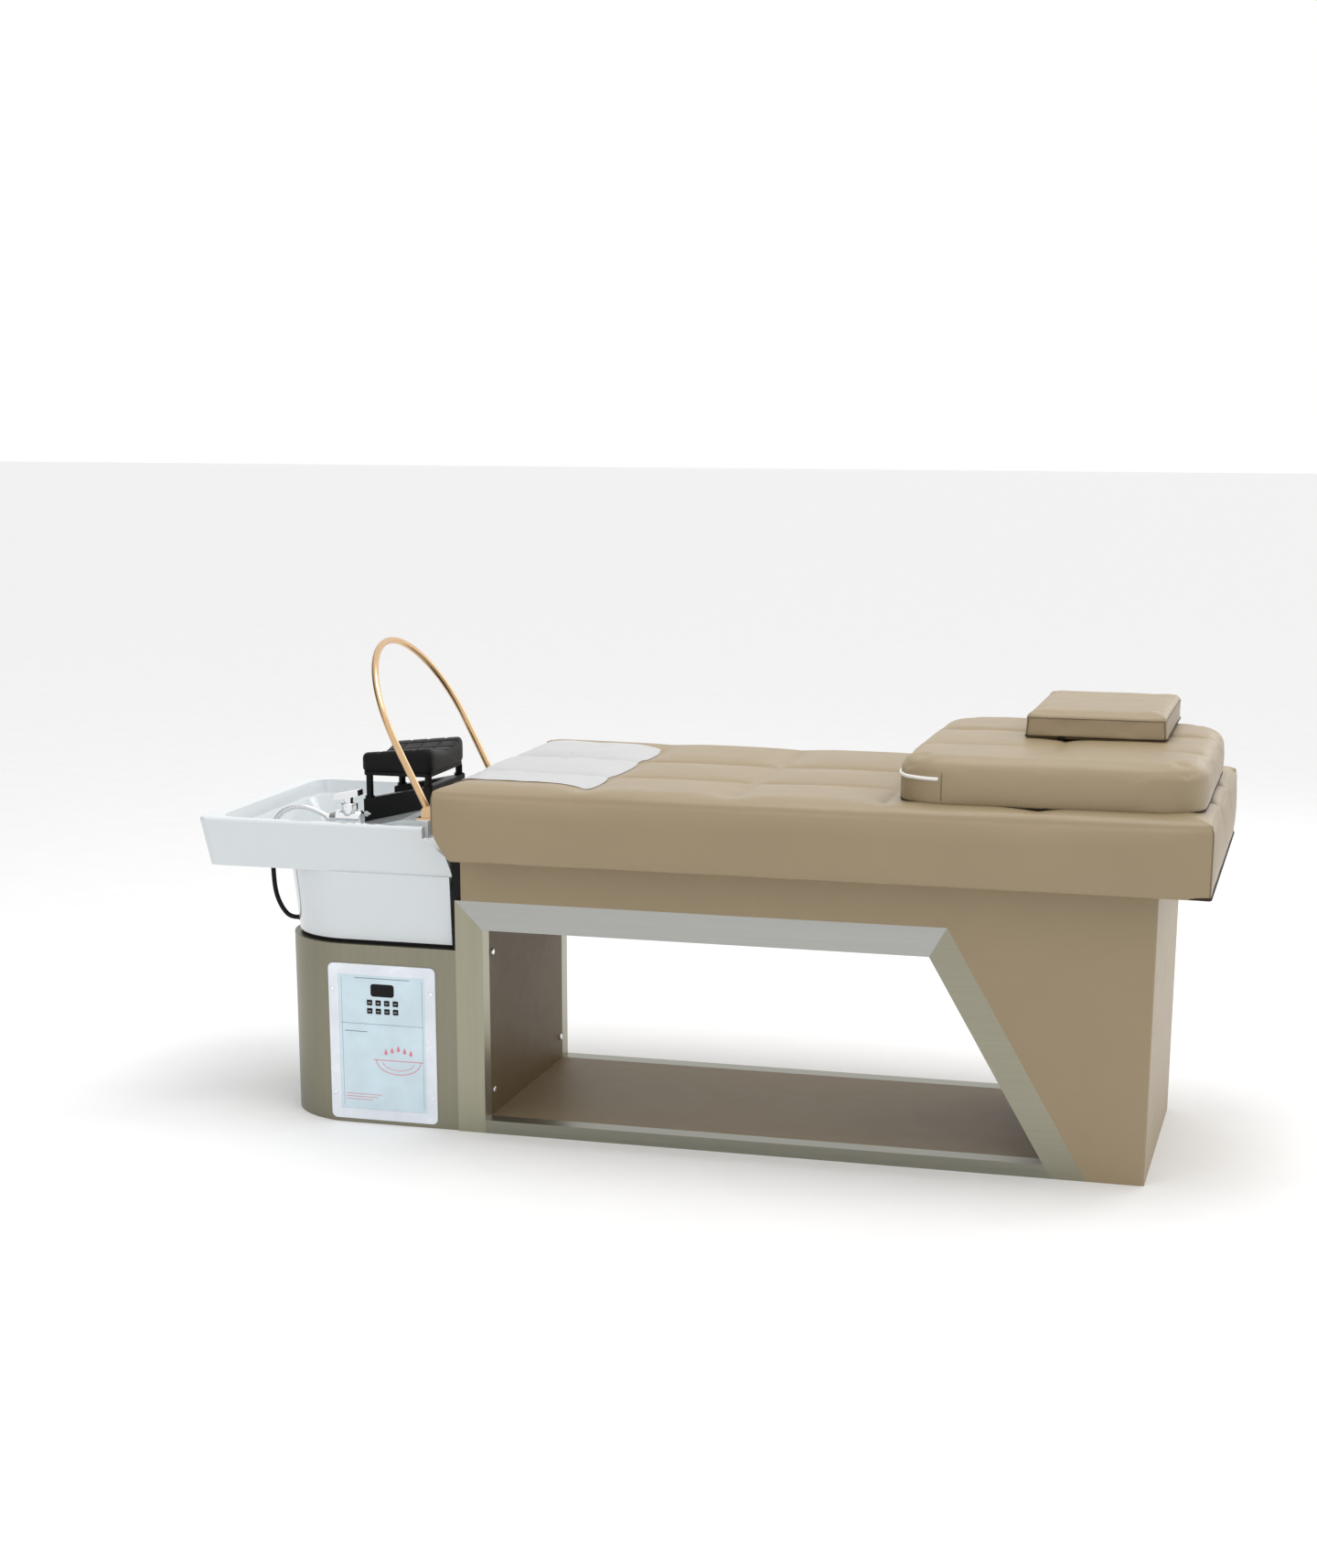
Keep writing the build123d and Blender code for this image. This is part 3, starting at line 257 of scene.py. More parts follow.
def glazed(name, colour):
    """White glaze: clear coat over a body with very slight waviness and clouding."""
    material, tree, shader = new_material(name)
    place = object_coordinates(tree)
    cloud = node(tree, "ShaderNodeTexNoise", Scale=4.0, Detail=3.0)
    wave = node(tree, "ShaderNodeTexNoise", Scale=16.0, Detail=2.0)
    for texture in (cloud, wave):
        tree.links.new(place, texture.inputs["Vector"])
    tree.links.new(
        mix_colour(tree, cloud.outputs["Fac"], shade(colour, 0.985), shade(colour, 1.01)),
        shader.inputs["Base Color"],
    )
    tree.links.new(ramp(tree, cloud.outputs["Fac"], 0.10, 0.17), shader.inputs["Roughness"])
    tree.links.new(bump(tree, wave.outputs["Fac"], 0.12, 0.0008), shader.inputs["Normal"])
    shader.inputs["Coat Weight"].default_value = 0.6
    shader.inputs["Coat Roughness"].default_value = 0.05
    return material


def moulded(name, colour, roughness):
    """Moulded plastic or rubber with a fine spark-eroded texture."""
    material, tree, shader = new_material(name)
    place = object_coordinates(tree)
    grain = node(tree, "ShaderNodeTexNoise", Scale=1400.0, Detail=2.0)
    cloud = node(tree, "ShaderNodeTexNoise", Scale=14.0, Detail=3.0)
    for texture in (grain, cloud):
        tree.links.new(place, texture.inputs["Vector"])
    tree.links.new(
        mix_colour(tree, cloud.outputs["Fac"], shade(colour, 0.85), shade(colour, 1.2)),
        shader.inputs["Base Color"],
    )
    tree.links.new(
        ramp(tree, cloud.outputs["Fac"], roughness - 0.05, roughness + 0.07), shader.inputs["Roughness"]
    )
    tree.links.new(bump(tree, grain.outputs["Fac"], 0.2, 0.0001), shader.inputs["Normal"])
    return material


def clear_film(name):
    """Frosted soft film: a milky grey, partly see-through, with small creases, painted a little darker in
    their folds and lighter on their ridges as painted shade and highlight.
    """
    material, tree, shader = new_material(name)
    place = object_coordinates(tree)
    crease = node(tree, "ShaderNodeTexNoise", Scale=24.0, Detail=5.0, Distortion=0.9)
    tree.links.new(place, crease.inputs["Vector"])
    # The grey follows the crease height: painted shade in the folds, painted highlight on the ridges.
    tree.links.new(
        mix_colour(tree, crease.outputs["Fac"], (0.52, 0.53, 0.53), (0.60, 0.61, 0.61)),
        shader.inputs["Base Color"],
    )
    tree.links.new(ramp(tree, crease.outputs["Fac"], 0.24, 0.36), shader.inputs["Roughness"])
    shader.inputs["Alpha"].default_value = 0.86
    tree.links.new(bump(tree, crease.outputs["Fac"], 0.35, 0.0025), shader.inputs["Normal"])
    return material


def wood(name, colour):
    """Plywood with faint grain along X."""
    material, tree, shader = new_material(name)
    place = object_coordinates(tree, (3.0, 40.0, 40.0))
    grain = node(tree, "ShaderNodeTexNoise", Scale=2.0, Detail=6.0, Distortion=1.0)
    tree.links.new(place, grain.inputs["Vector"])
    tree.links.new(
        mix_colour(tree, grain.outputs["Fac"], shade(colour, 0.7), shade(colour, 1.2)),
        shader.inputs["Base Color"],
    )
    tree.links.new(ramp(tree, grain.outputs["Fac"], 0.55, 0.75), shader.inputs["Roughness"])
    tree.links.new(bump(tree, grain.outputs["Fac"], 0.2, 0.0004), shader.inputs["Normal"])
    return material


TAN = (0.318, 0.243, 0.142)
# The head panel's tan is the same leatherette darkened as painted shade.
SHADED_TAN = (0.13, 0.085, 0.032)
# The shelf's tan is the same leatherette darkened as painted shade.
SHELF_SHADE_TAN = (0.24, 0.18, 0.10)
# The welt under each pad is near-black: a dark welt that also carries painted contact shadow.
WELT_SHADOW_TONE = (0.030, 0.022, 0.012)
# The trim is one brushed steel in stepped tones, lightest on the rails and darkest on the sills: painted
# light and shade.
RAIL_STEEL = (0.42, 0.425, 0.40)
STILE_STEEL = (0.36, 0.345, 0.26)
BRACE_STEEL = (0.32, 0.305, 0.235)
SILL_STEEL = (0.28, 0.275, 0.225)
CABINET_STEEL = (0.275, 0.262, 0.198)
BRACE_RISE, BRACE_RUN = 0.495, 0.291
BRACE_SLOPE = math.atan2(BRACE_RISE, BRACE_RUN)

MATERIALS = {
    "leatherette": leatherette("tan_leatherette", TAN),
    "shaded_tan": leatherette("shaded_leatherette", SHADED_TAN),
    "shelf_shade_tan": leatherette("shelf_shaded_leatherette", SHELF_SHADE_TAN),
    "black_leather": leatherette("black_leatherette", (0.004, 0.004, 0.004), 0.40, 480.0, 0.0004),
    "rail_steel": brushed("rail_steel", RAIL_STEEL, 0),
    "stile_steel": brushed("stile_steel", STILE_STEEL, 2),
    "brace_steel": brushed("brace_steel", BRACE_STEEL, 0, rotation=(0, -BRACE_SLOPE, 0)),
    "sill_steel": brushed("sill_steel", SILL_STEEL, 0),
    "cabinet": brushed("cabinet_steel", CABINET_STEEL, 2, 0.38),
    "chrome": polished("chrome_plate", (0.86, 0.87, 0.89), 0.07),
    "rose_gold": polished("rose_gold_plate", (0.70, 0.47, 0.27), 0.22),
    "ceramic": glazed("white_glaze", (0.66, 0.70, 0.72)),
    "black_plastic": moulded("black_plastic", (0.004, 0.004, 0.004), 0.4),
    "rubber": moulded("black_rubber", (0.005, 0.005, 0.005), 0.5),
    "white_plastic": moulded("white_plastic", (0.76, 0.80, 0.90), 0.25),
    "fascia": moulded("pale_blue_film", (0.60, 0.73, 0.80), 0.3),
    "display": polished("display_glass", (0.006, 0.005, 0.006), 0.12),
    "key": moulded("black_key", (0.008, 0.006, 0.007), 0.35),
    "board": moulded("circuit_board", (0.02, 0.16, 0.06), 0.4),
    "film": clear_film("frosted_film"),
    "plywood": wood("birch_plywood", (0.55, 0.40, 0.24)),
    "tank": moulded("tank_plastic", (0.75, 0.75, 0.72), 0.4),
    "pump": moulded("pump_paint", (0.06, 0.12, 0.22), 0.4),
    "pipe": moulded("grey_pipe", (0.55, 0.56, 0.57), 0.35),
    "print_grey": plain("grey_ink", (0.19, 0.24, 0.28), 0.5),
    "print_rose": plain("rose_ink", (0.72, 0.22, 0.27), 0.5),
    "zip": moulded("white_zip", (0.80, 0.79, 0.74), 0.5),
    "piping": leatherette("tan_piping", shade(TAN, 0.55), 0.45),
    "welt": leatherette("welt_painted_shadow", WELT_SHADOW_TONE, 0.6),
}
DULL = (
    "black_leather", "black_plastic", "rubber", "display", "key", "welt", "shaded_tan", "shelf_shade_tan",
)
DULL_SPECULAR = 0.18
MATERIALS["display"].node_tree.nodes["Principled BSDF"].inputs["Metallic"].default_value = 0.0
for dull in DULL:
    shader_inputs = MATERIALS[dull].node_tree.nodes["Principled BSDF"].inputs
    shader_inputs["Specular IOR Level"].default_value = DULL_SPECULAR
    shader_inputs["Coat Weight"].default_value = 0.0

NODE_MATERIALS = {
    "leatherette": ["bed_box", "foot_block"],
    "shelf_shade_tan": ["shelf_board"],
    "shaded_tan": ["head_panel"],
    "plywood": ["mattress_board"],
    "rail_steel": ["trim_rails"],
    "stile_steel": ["trim_stiles"],
    "brace_steel": ["trim_braces"],
    "sill_steel": ["trim_sills"],
    "cabinet": ["cabinet_shell", "cabinet_floor", "cabinet_top", "service_door"],
    "chrome": [
        "head_panel_screws", "door_hinge_leaves", "fixed_hinge_leaves", "panel_screws", "drain_flange",
        "strainer", "neck_knob", "mixer_body", "mixer_cap", "mixer_lever", "hose_grommet", "inlet_nipples",
    ],
    "rose_gold": ["arch_tube", "arch_brackets"],
    "ceramic": ["tub", "basin", "basin_well"],
    "black_plastic": [
        "bulkhead", "levelling_feet", "panel_housing", "neck_base", "neck_frame", "power_inlet",
    ],
    "rubber": ["tub_gasket", "hose_gland"],
    "white_plastic": ["panel_bezel"],
    "fascia": ["panel_fascia"],
    "display": ["display_window"],
    "key": [f"button_{number}" for number in range(1, 9)],
    "board": ["control_board"],
    "tank": ["water_tank"],
    "pump": ["circulation_pump"],
    "pipe": ["drain_pipe"],
}


def dress_nodes():
    for material, names in NODE_MATERIALS.items():
        for name in names:
            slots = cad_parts[name].data.materials
            for index in range(len(slots)):
                slots[index] = MATERIALS[material]


# ------------------------------------------------------------------ mesh helpers
def add_piece(name, points, faces, material, body, smooth=True):
    mesh = bpy.data.meshes.new(name)
    mesh.from_pydata([tuple(p) for p in points], [], faces)
    mesh.validate()
    mesh.update()
    mesh.polygons.foreach_set("use_smooth", [smooth] * len(mesh.polygons))
    piece = bpy.data.objects.new(name, mesh)
    scene.collection.objects.link(piece)
    mesh.materials.append(MATERIALS[material])
    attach(piece, body)
    return piece


def lattice_surface(xs, ys, zs):
    """The closed surface of a lattice of boxes: its points and quads, shared along every edge."""
    index = {}
    points = []

    def corner(i, j, k):
        if (i, j, k) not in index:
            index[i, j, k] = len(points)
            points.append((xs[i], ys[j], zs[k]))
        return index[i, j, k]

    faces = []
    nx, ny, nz = len(xs) - 1, len(ys) - 1, len(zs) - 1
    for i in range(nx):
        for j in range(ny):
            low = [corner(i, j, 0), corner(i, j + 1, 0), corner(i + 1, j + 1, 0), corner(i + 1, j, 0)]
            high = [corner(i, j, nz), corner(i + 1, j, nz), corner(i + 1, j + 1, nz), corner(i, j + 1, nz)]
            faces += [low, high]
    for i in range(nx):
        for k in range(nz):
            near = [corner(i, 0, k), corner(i + 1, 0, k), corner(i + 1, 0, k + 1), corner(i, 0, k + 1)]
            far = [corner(i, ny, k), corner(i, ny, k + 1), corner(i + 1, ny, k + 1), corner(i + 1, ny, k)]
            faces += [near, far]
    for j in range(ny):
        for k in range(nz):
            head = [corner(0, j, k), corner(0, j, k + 1), corner(0, j + 1, k + 1), corner(0, j + 1, k)]
            foot = [corner(nx, j, k), corner(nx, j + 1, k), corner(nx, j + 1, k + 1), corner(nx, j, k + 1)]
            faces += [head, foot]
    return points, faces


def spaced(start, end, step, seams=(), roll=(0.0, 0.0), tight=0.004):
    """Coordinates about a step apart, finer over rolled ends and beside each seam."""
    stops = sorted({start + roll[0], end - roll[1], *seams})
    values = {start, end, *stops}
    for low, high in zip(stops, stops[1:]):
        count = max(2, round((high - low) / step))
        values.update(low + (high - low) * n / count for n in range(count))
    for n in range(1, 4):
        values.update((start + roll[0] * n / 4, end - roll[1] * n / 4))
    for seam in seams:
        values.update((seam - tight, seam + tight))
    kept = []
    for value in sorted(values):
        if not kept or value - kept[-1] > tight * 0.6:
            kept.append(value)
        elif value in stops or value == end:
            kept[-1] = value
    return kept


def inside_outline(x, y, low, high, radius):
    """How far a point lies inside a rounded rectangle in plan, and the way further in."""
    dx, dy = x - (low.x + high.x) / 2, y - (low.y + high.y) / 2
    over_x = abs(dx) - (high.x - low.x) / 2 + radius
    over_y = abs(dy) - (high.y - low.y) / 2 + radius
    side_x, side_y = math.copysign(1, dx), math.copysign(1, dy)
    if over_x > 0 and over_y > 0:
        reach = math.hypot(over_x, over_y)
        return radius - reach, (-side_x * over_x / reach, -side_y * over_y / reach)
    if over_x > over_y:
        return radius - over_x, (-side_x, 0.0)
    return radius - over_y, (0.0, -side_y)


def round_in_plan(points, low, high, radius):
    """Moves points so that the rectangle from low to high in plan gets round corners."""
    moved = []
    for x, y, z in points:
        core_x = min(max(x, low.x + radius), high.x - radius)
        core_y = min(max(y, low.y + radius), high.y - radius)
        dx, dy = x - core_x, y - core_y
        if dx and dy:
            scale = max(abs(dx), abs(dy)) / math.hypot(dx, dy)
            dx, dy = dx * scale, dy * scale
        moved.append((core_x + dx, core_y + dy, z))
    return moved


def roll_edge(points, low, high, level, plan_radius, roll, up=1):
    """Rolls the edge at a level between the walls and the top (up=1) or the bottom (up=-1)."""
    rolled = []
    for x, y, z in points:
        inside, (way_x, way_y) = inside_outline(x, y, low, high, plan_radius)
        drop = (level - z) * up
        if inside < roll and -1e-6 < drop < roll:
            turn = (roll - drop + max(inside, 0.0)) / (2 * roll) * math.pi / 2
            shift = roll * (1 - math.cos(turn)) - max(inside, 0.0)
            x, y = x + way_x * shift, y + way_y * shift
            z = level - up * roll * (1 - math.sin(turn))
        rolled.append((x, y, z))
    return rolled


LAST_FRAME = 20


def inflate(piece, pinned, pressure, cap):
    """Swells a padded cover between its pinned seams by cloth simulation, and keeps the result."""
    start = np.array([v.co for v in piece.data.vertices])
    group = piece.vertex_groups.new(name="seams")
    for index, weight in enumerate(pinned):
        if weight > 0:
            group.add([index], weight, "REPLACE")
    cloth = piece.modifiers.new("swell", "CLOTH")
    cloth.settings.quality = 6
    cloth.settings.mass = 0.4
    cloth.settings.tension_stiffness = 18
    cloth.settings.compression_stiffness = 12
    cloth.settings.shear_stiffness = 6
    cloth.settings.bending_stiffness = 1.2
    cloth.settings.use_pressure = True
    cloth.settings.uniform_pressure_force = pressure
    cloth.settings.vertex_group_mass = "seams"
    cloth.settings.effector_weights.gravity = 0
    cloth.collision_settings.use_collision = False
    cloth.point_cache.frame_start = 1
    cloth.point_cache.frame_end = LAST_FRAME
    for number in range(1, LAST_FRAME + 1):
        scene.frame_set(number)
    evaluated = piece.evaluated_get(bpy.context.evaluated_depsgraph_get())
    moved = np.array([v.co for v in evaluated.data.vertices]) - start
    piece.modifiers.remove(cloth)
    piece.vertex_groups.remove(group)
    scene.frame_set(1)
    reach = np.linalg.norm(moved, axis=1)
    scale = np.where(reach > cap, cap / np.maximum(reach, 1e-9), 1.0)
    result = start + moved * scale[:, None]
    piece.data.vertices.foreach_set("co", result.astype(np.float32).ravel())
    piece.data.update()


def subdivide(piece):
    """Smooths the mesh by one subdivision, and keeps the result."""
    modifier = piece.modifiers.new("smooth", "SUBSURF")
    modifier.levels = modifier.render_levels = 1
    evaluated = piece.evaluated_get(bpy.context.evaluated_depsgraph_get())
    mesh = bpy.data.meshes.new_from_object(evaluated)
    piece.modifiers.remove(modifier)
    mesh.name = piece.name
    piece.data = mesh


def ripple(piece, height, scale, seed):
    """Small uneven waves in a soft surface, square to it."""
    normals = [v.normal.copy() for v in piece.data.vertices]
    for vertex, normal in zip(piece.data.vertices, normals):
        place = Vector(vertex.co) * scale + Vector((seed, seed, seed))
        vertex.co += normal * height * noise.noise(place)


GROOVE_WIDTH = 0.008
CROWN_REACH = 0.05
PUCKER_HEIGHT = 0.0016
PUCKER_REACH = 0.022
FAR_AWAY = 1.0


def sew(piece, flats, seams_x, seams_y, depth, crown, seam_reach):
    """Sinks the seams of a quilted top, crowns the fields between them and puckers their edges.

    flats are the vertices' places before any swelling, with None for those off the top. The
    seams across fade out towards seam_reach on each side.
    """
    for vertex, flat in zip(piece.data.vertices, flats):
        if flat is None:
            continue
        x, y = flat
        gap_x = min((abs(x - seam) for seam in seams_x), default=FAR_AWAY)
        gap_x += max(0.0, abs(y) - seam_reach + 0.05) * 0.5
        gap_y = min((abs(y - seam) for seam in seams_y), default=FAR_AWAY)
        gap = min(gap_x, gap_y)
        along = x if gap_y < gap_x else y
        pucker = noise.noise(Vector((along * 42, gap * 12, 0.7))) * math.exp(-gap / PUCKER_REACH)
        field = (1 - math.exp(-gap_x / CROWN_REACH)) * (1 - math.exp(-gap_y / CROWN_REACH))
        groove = math.exp(-((gap / GROOVE_WIDTH) ** 2))
        vertex.co.z += crown * field - depth * groove + PUCKER_HEIGHT * pucker


# ------------------------------------------------------------------ soft goods
MATTRESS_LOW, MATTRESS_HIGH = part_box("mattress")
EDGE_TOP = MATTRESS_HIGH.z - 0.003
LANES = (-0.115, 0.115)
CROSS_SEAMS = (-0.188, 0.114, 0.416, 0.718)
MATTRESS_ROLL = 0.020
SEAM_REACH = MATTRESS_HIGH.y - 0.045
CUSHION_LOW, CUSHION_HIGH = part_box("leg_cushion")
CUSHION_RADIUS = 0.095
CUSHION_SEAM = (0.730,)
CUSHION_SEAM_REACH = 0.20
PILLOW_LOW, PILLOW_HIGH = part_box("pillow")
PILLOW_STANDS_PROUD = 0.007        # the cover is a little longer than its CAD solid, towards the foot
PILLOW_HIGH = PILLOW_HIGH + Vector((PILLOW_STANDS_PROUD, 0, 0))
PILLOW_RADIUS = 0.012


def near(value, marks):
    return any(abs(value - mark) <= 1e-5 for mark in marks)


def boxed_pad(low, high, top, step, seams, plan_radius, rolls, lean=None):
    """A boxed pad: its lattice points, the same points shaped, and its faces."""
    seams_x, seams_y = seams
    roll, low_roll = rolls
    xs = spaced(low.x, high.x, step, seams_x, (roll, roll))
    ys = spaced(low.y, high.y, step, seams_y, (roll, roll))
    zs = spaced(low.z, top, step, (), (low_roll, roll))
    points, faces = lattice_surface(xs, ys, zs)
    shaped = round_in_plan(points, low, high, plan_radius) if plan_radius else points
    shaped = roll_edge(shaped, low, high, top, plan_radius, roll)
    shaped = roll_edge(shaped, low, high, low.z, plan_radius, low_roll, up=-1)
    if lean:
        shaped = [lean(*point) for point in shaped]
    return points, shaped, faces


def top_places(points, shaped, top):
    """The places in plan of the vertices on the top, with None for the others."""
    return [
        (sx, sy) if abs(z - top) < 1e-6 else None for (_, _, z), (sx, sy, _) in zip(points, shaped)
    ]


def pins(points, low, top, seams, corners=(), seam_reach=FAR_AWAY):
    """1 for the vertices that stay put while a pad swells: its base, seams and sewn corners."""
    pinned = []
    for x, y, z in points:
        across = near(x, seams[0]) and abs(y) < seam_reach
        on_seam = abs(z - top) < 1e-6 and (across or near(y, seams[1]))
        on_corner = near(x, corners) and (near(y, (low.y, -low.y)))
        pinned.append(1.0 if z < low.z + 0.001 or on_seam or on_corner else 0.0)
    return pinned


def make_mattress():
    low, high = MATTRESS_LOW, MATTRESS_HIGH
    chamfer_z, chamfer_x = 0.644, 0.036

    def lean(x, y, z):
        """Undercuts the head end below the chamfer's top."""
        undercut = chamfer_x * max(0.0, (chamfer_z - z) / (chamfer_z - low.z))
        return x + undercut * max(0.0, 1 - (x - low.x) / 0.12), y, z

    seams = (CROSS_SEAMS, LANES)
    points, shaped, faces = boxed_pad(
        low, high, EDGE_TOP, 0.016, seams, 0.0, (MATTRESS_ROLL, 0.006), lean
    )
    piece = add_piece("mattress_cover", shaped, faces, "leatherette", "base")
    inflate(piece, pins(points, low, EDGE_TOP, seams, (low.x, high.x), SEAM_REACH), 3.5, 0.007)
    flats = top_places(points, shaped, EDGE_TOP)
    sew(piece, flats, CROSS_SEAMS, LANES, 0.0045, 0.0035, SEAM_REACH)
    subdivide(piece)
    ripple(piece, 0.0011, 9.0, 3.7)
    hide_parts("mattress", "mattress_board")
    return piece


def make_leg_cushion():
    low, high = CUSHION_LOW, CUSHION_HIGH
    top = high.z - 0.004
    seams = (CUSHION_SEAM, LANES)
    points, shaped, faces = boxed_pad(low, high, top, 0.014, seams, CUSHION_RADIUS, (0.028, 0.010))
    piece = add_piece("leg_cushion_cover", shaped, faces, "leatherette", "leg_cushion")
    inflate(piece, pins(points, low, top, seams, (), CUSHION_SEAM_REACH), 4.0, 0.0045)
    flats = top_places(points, shaped, top)
    sew(piece, flats, CUSHION_SEAM, LANES, 0.0022, 0.001, CUSHION_SEAM_REACH)
    subdivide(piece)
    ripple(piece, 0.0013, 11.0, 9.1)
    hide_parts("leg_cushion")
    return piece


def make_pillow():
    low, high = PILLOW_LOW, PILLOW_HIGH
    top = high.z - 0.003
    points, shaped, faces = boxed_pad(low, high, top, 0.012, ((), ()), PILLOW_RADIUS, (0.012, 0.010))
    piece = add_piece("pillow_cover", shaped, faces, "leatherette", "pillow")
    inflate(piece, pins(points, low, top, ((), ())), 4.0, 0.005)
    subdivide(piece)
    ripple(piece, 0.0010, 13.0, 5.3)
    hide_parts("pillow")
    return piece


def surface_of(piece):
    mesh = bmesh.new()
    mesh.from_mesh(piece.data)
    tree = BVHTree.FromBMesh(mesh)
    mesh.free()
    return tree


def laid_line(tree, starts, way, lift):
    """Where rays from the starts meet a surface, lifted off it."""
    line = []
    for start in starts:
        hit, normal, _, _ = tree.ray_cast(Vector(start), Vector(way))
        if hit:
            outward = normal if normal.dot(Vector(way)) < 0 else -normal
            line.append(hit + outward * lift)
    return line


def make_neck_pad():
    """The ribbed pad, dished across its middle and rising towards the foot."""
    low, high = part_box("neck_pad")
    corner = 0.018
    ribs_x = [low.x + (high.x - low.x) * n / 4 for n in (1, 2, 3)]
    ribs_y = [low.y + (high.y - low.y) * n / 6 for n in range(1, 6)]
    top, roll = 0.757, 0.010
    xs = spaced(low.x, high.x, 0.008, tuple(ribs_x), (roll, roll), 0.0025)
    ys = spaced(low.y, high.y, 0.008, tuple(ribs_y), (roll, roll), 0.0025)
    zs = spaced(low.z, top, 0.008, (), (0.006, roll), 0.0025)
    points, faces = lattice_surface(xs, ys, zs)
    rounded = roll_edge(round_in_plan(points, low, high, corner), low, high, top, corner, roll)
    rounded = roll_edge(rounded, low, high, low.z, corner, 0.006, up=-1)
    shaped = []
    for x, y, z in rounded:
        share = (z - low.z) / (top - low.z)
        along = (x - low.x) / (high.x - low.x)
        crest = 0.763 + 0.016 * along - 0.015 * max(0.0, 1 - (y / 0.085) ** 2)
        shaped.append((x, y, low.z + (crest - low.z) * share))
    piece = add_piece("neck_pad_cover", shaped, faces, "black_leather", "neck_rest")
    grooves = []
    for x, y, z in points:
        rim = near(x, (low.x, high.x)) or near(y, (low.y, high.y))
        grooves.append(z > top - 1e-6 and (near(x, ribs_x) or near(y, ribs_y)) and not rim)
    pinned = [1.0 if groove or z < low.z + 0.001 else 0.0 for groove, (_, _, z) in zip(grooves, points)]
    inflate(piece, pinned, 3.0, 0.006)
    for vertex, groove in zip(piece.data.vertices, grooves):
        if groove:
            vertex.co.z -= 0.003
    subdivide(piece)
    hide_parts("neck_pad")


def make_film(mattress):
    """The clear film laid over the head end, with its foot edge dipping between the lanes."""
    low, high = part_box("head_film")
    tree = surface_of(mattress)
    columns, rows = 74, 140
    scallop, lift, crease_height = 0.010, 0.0012, 0.004
    points = []
    for row in range(rows + 1):
        y = low.y + (high.y - low.y) * row / rows
        lane_middle = 0.0 if abs(y) <= LANES[1] else math.copysign((LANES[1] + high.y) / 2, y)
        lane_half = LANES[1] if abs(y) <= LANES[1] else (high.y - LANES[1]) / 2
        foot = high.x - scallop * ((y - lane_middle) / lane_half) ** 2
        for column in range(columns + 1):
            x = low.x + (foot - low.x) * column / columns
            hit, _, _, _ = tree.ray_cast(Vector((x, y, 1.2)), Vector((0, 0, -1)))
            crease = abs(noise.noise(Vector((x * 14, y * 9, 2.1)))) ** 1.4 * crease_height
            points.append((x, y, hit.z + lift + crease))
    faces = []
    for row in range(rows):
        for column in range(columns):
            first = row * (columns + 1) + column
            faces.append((first, first + 1, first + columns + 2, first + columns + 1))
    piece = add_piece("head_film_sheet", points, faces, "film", "base")
    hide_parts("head_film")


# ------------------------------------------------------------------ hoses
MIXER_HOSE = [
    (-0.925, -0.185, 0.572),
    (-0.925, -0.185, 0.602),
    (-0.910, -0.188, 0.636),
    (-0.872, -0.193, 0.659),
    (-0.824, -0.199, 0.658),
    (-0.786, -0.205, 0.641),
]
SUPPLY_HOSE = [
    (-0.925, -0.185, 0.533),
    (-0.925, -0.185, 0.503),
    (-0.920, -0.186, 0.464),
    (-0.905, -0.187, 0.433),
    (-0.886, -0.187, 0.416),
    (-0.867, -0.187, 0.418),
]


def route_curve(name, route, radius):
    curve = bpy.data.curves.new(name, "CURVE")
    curve.dimensions = "3D"
    spline = curve.splines.new("NURBS")
    spline.points.add(len(route) - 1)
    for point, place in zip(spline.points, route):
        point.co = (*place, 1)
    spline.order_u = 3
    spline.use_endpoint_u = True
    spline.resolution_u = 16
    curve.resolution_u = 16
    curve.bevel_depth = radius
    curve.bevel_resolution = 6
    curve.use_fill_caps = True
    piece = bpy.data.objects.new(name, curve)
    scene.collection.objects.link(piece)
    return piece


def line_of(route):
    """The smooth line of a route, as points along its spline."""
    bare = route_curve("bare_line", route, 0.0)
    mesh = bpy.data.meshes.new_from_object(bare.evaluated_get(bpy.context.evaluated_depsgraph_get()))
    line = [v.co.copy() for v in mesh.vertices]
    bpy.data.objects.remove(bare)
    return line


def length_of(line):
    return sum((b - a).length for a, b in zip(line, line[1:]))


def resampled(line, step):
    """Points an even step apart along a line, with its end."""
    total = length_of(line)
    count = max(2, round(total / step))
    wanted = [total * n / count for n in range(count + 1)]
    points, walked, segment = [], 0.0, 0
    for target in wanted:
        while segment < len(line) - 2 and walked + (line[segment + 1] - line[segment]).length < target:
            walked += (line[segment + 1] - line[segment]).length
            segment += 1
        run = line[segment + 1] - line[segment]
        share = min(1.0, (target - walked) / max(run.length, 1e-9))
        points.append(line[segment] + run * share)
    return points


def swept(name, line, radii, material, body, sides=20):
    """A closed tube round a line, with its own radius at each point."""
    rings = []
    up = Vector((0, 1, 0))
    for index, point in enumerate(line):
        before, after = line[max(index - 1, 0)], line[min(index + 1, len(line) - 1)]
        along = (after - before).normalized()
        side = along.cross(up).normalized()
        across = side.cross(along)
        for n in range(sides):
            turn = math.tau * n / sides
            rings.append(point + (side * math.cos(turn) + across * math.sin(turn)) * radii[index])
    faces = [tuple(reversed(range(sides))), tuple(range(len(rings) - sides, len(rings)))]
    for index in range(len(line) - 1):
        for n in range(sides):
            a, b = index * sides + n, index * sides + (n + 1) % sides
            faces.append((a, b, b + sides, a + sides))
    return add_piece(name, rings, faces, material, body)


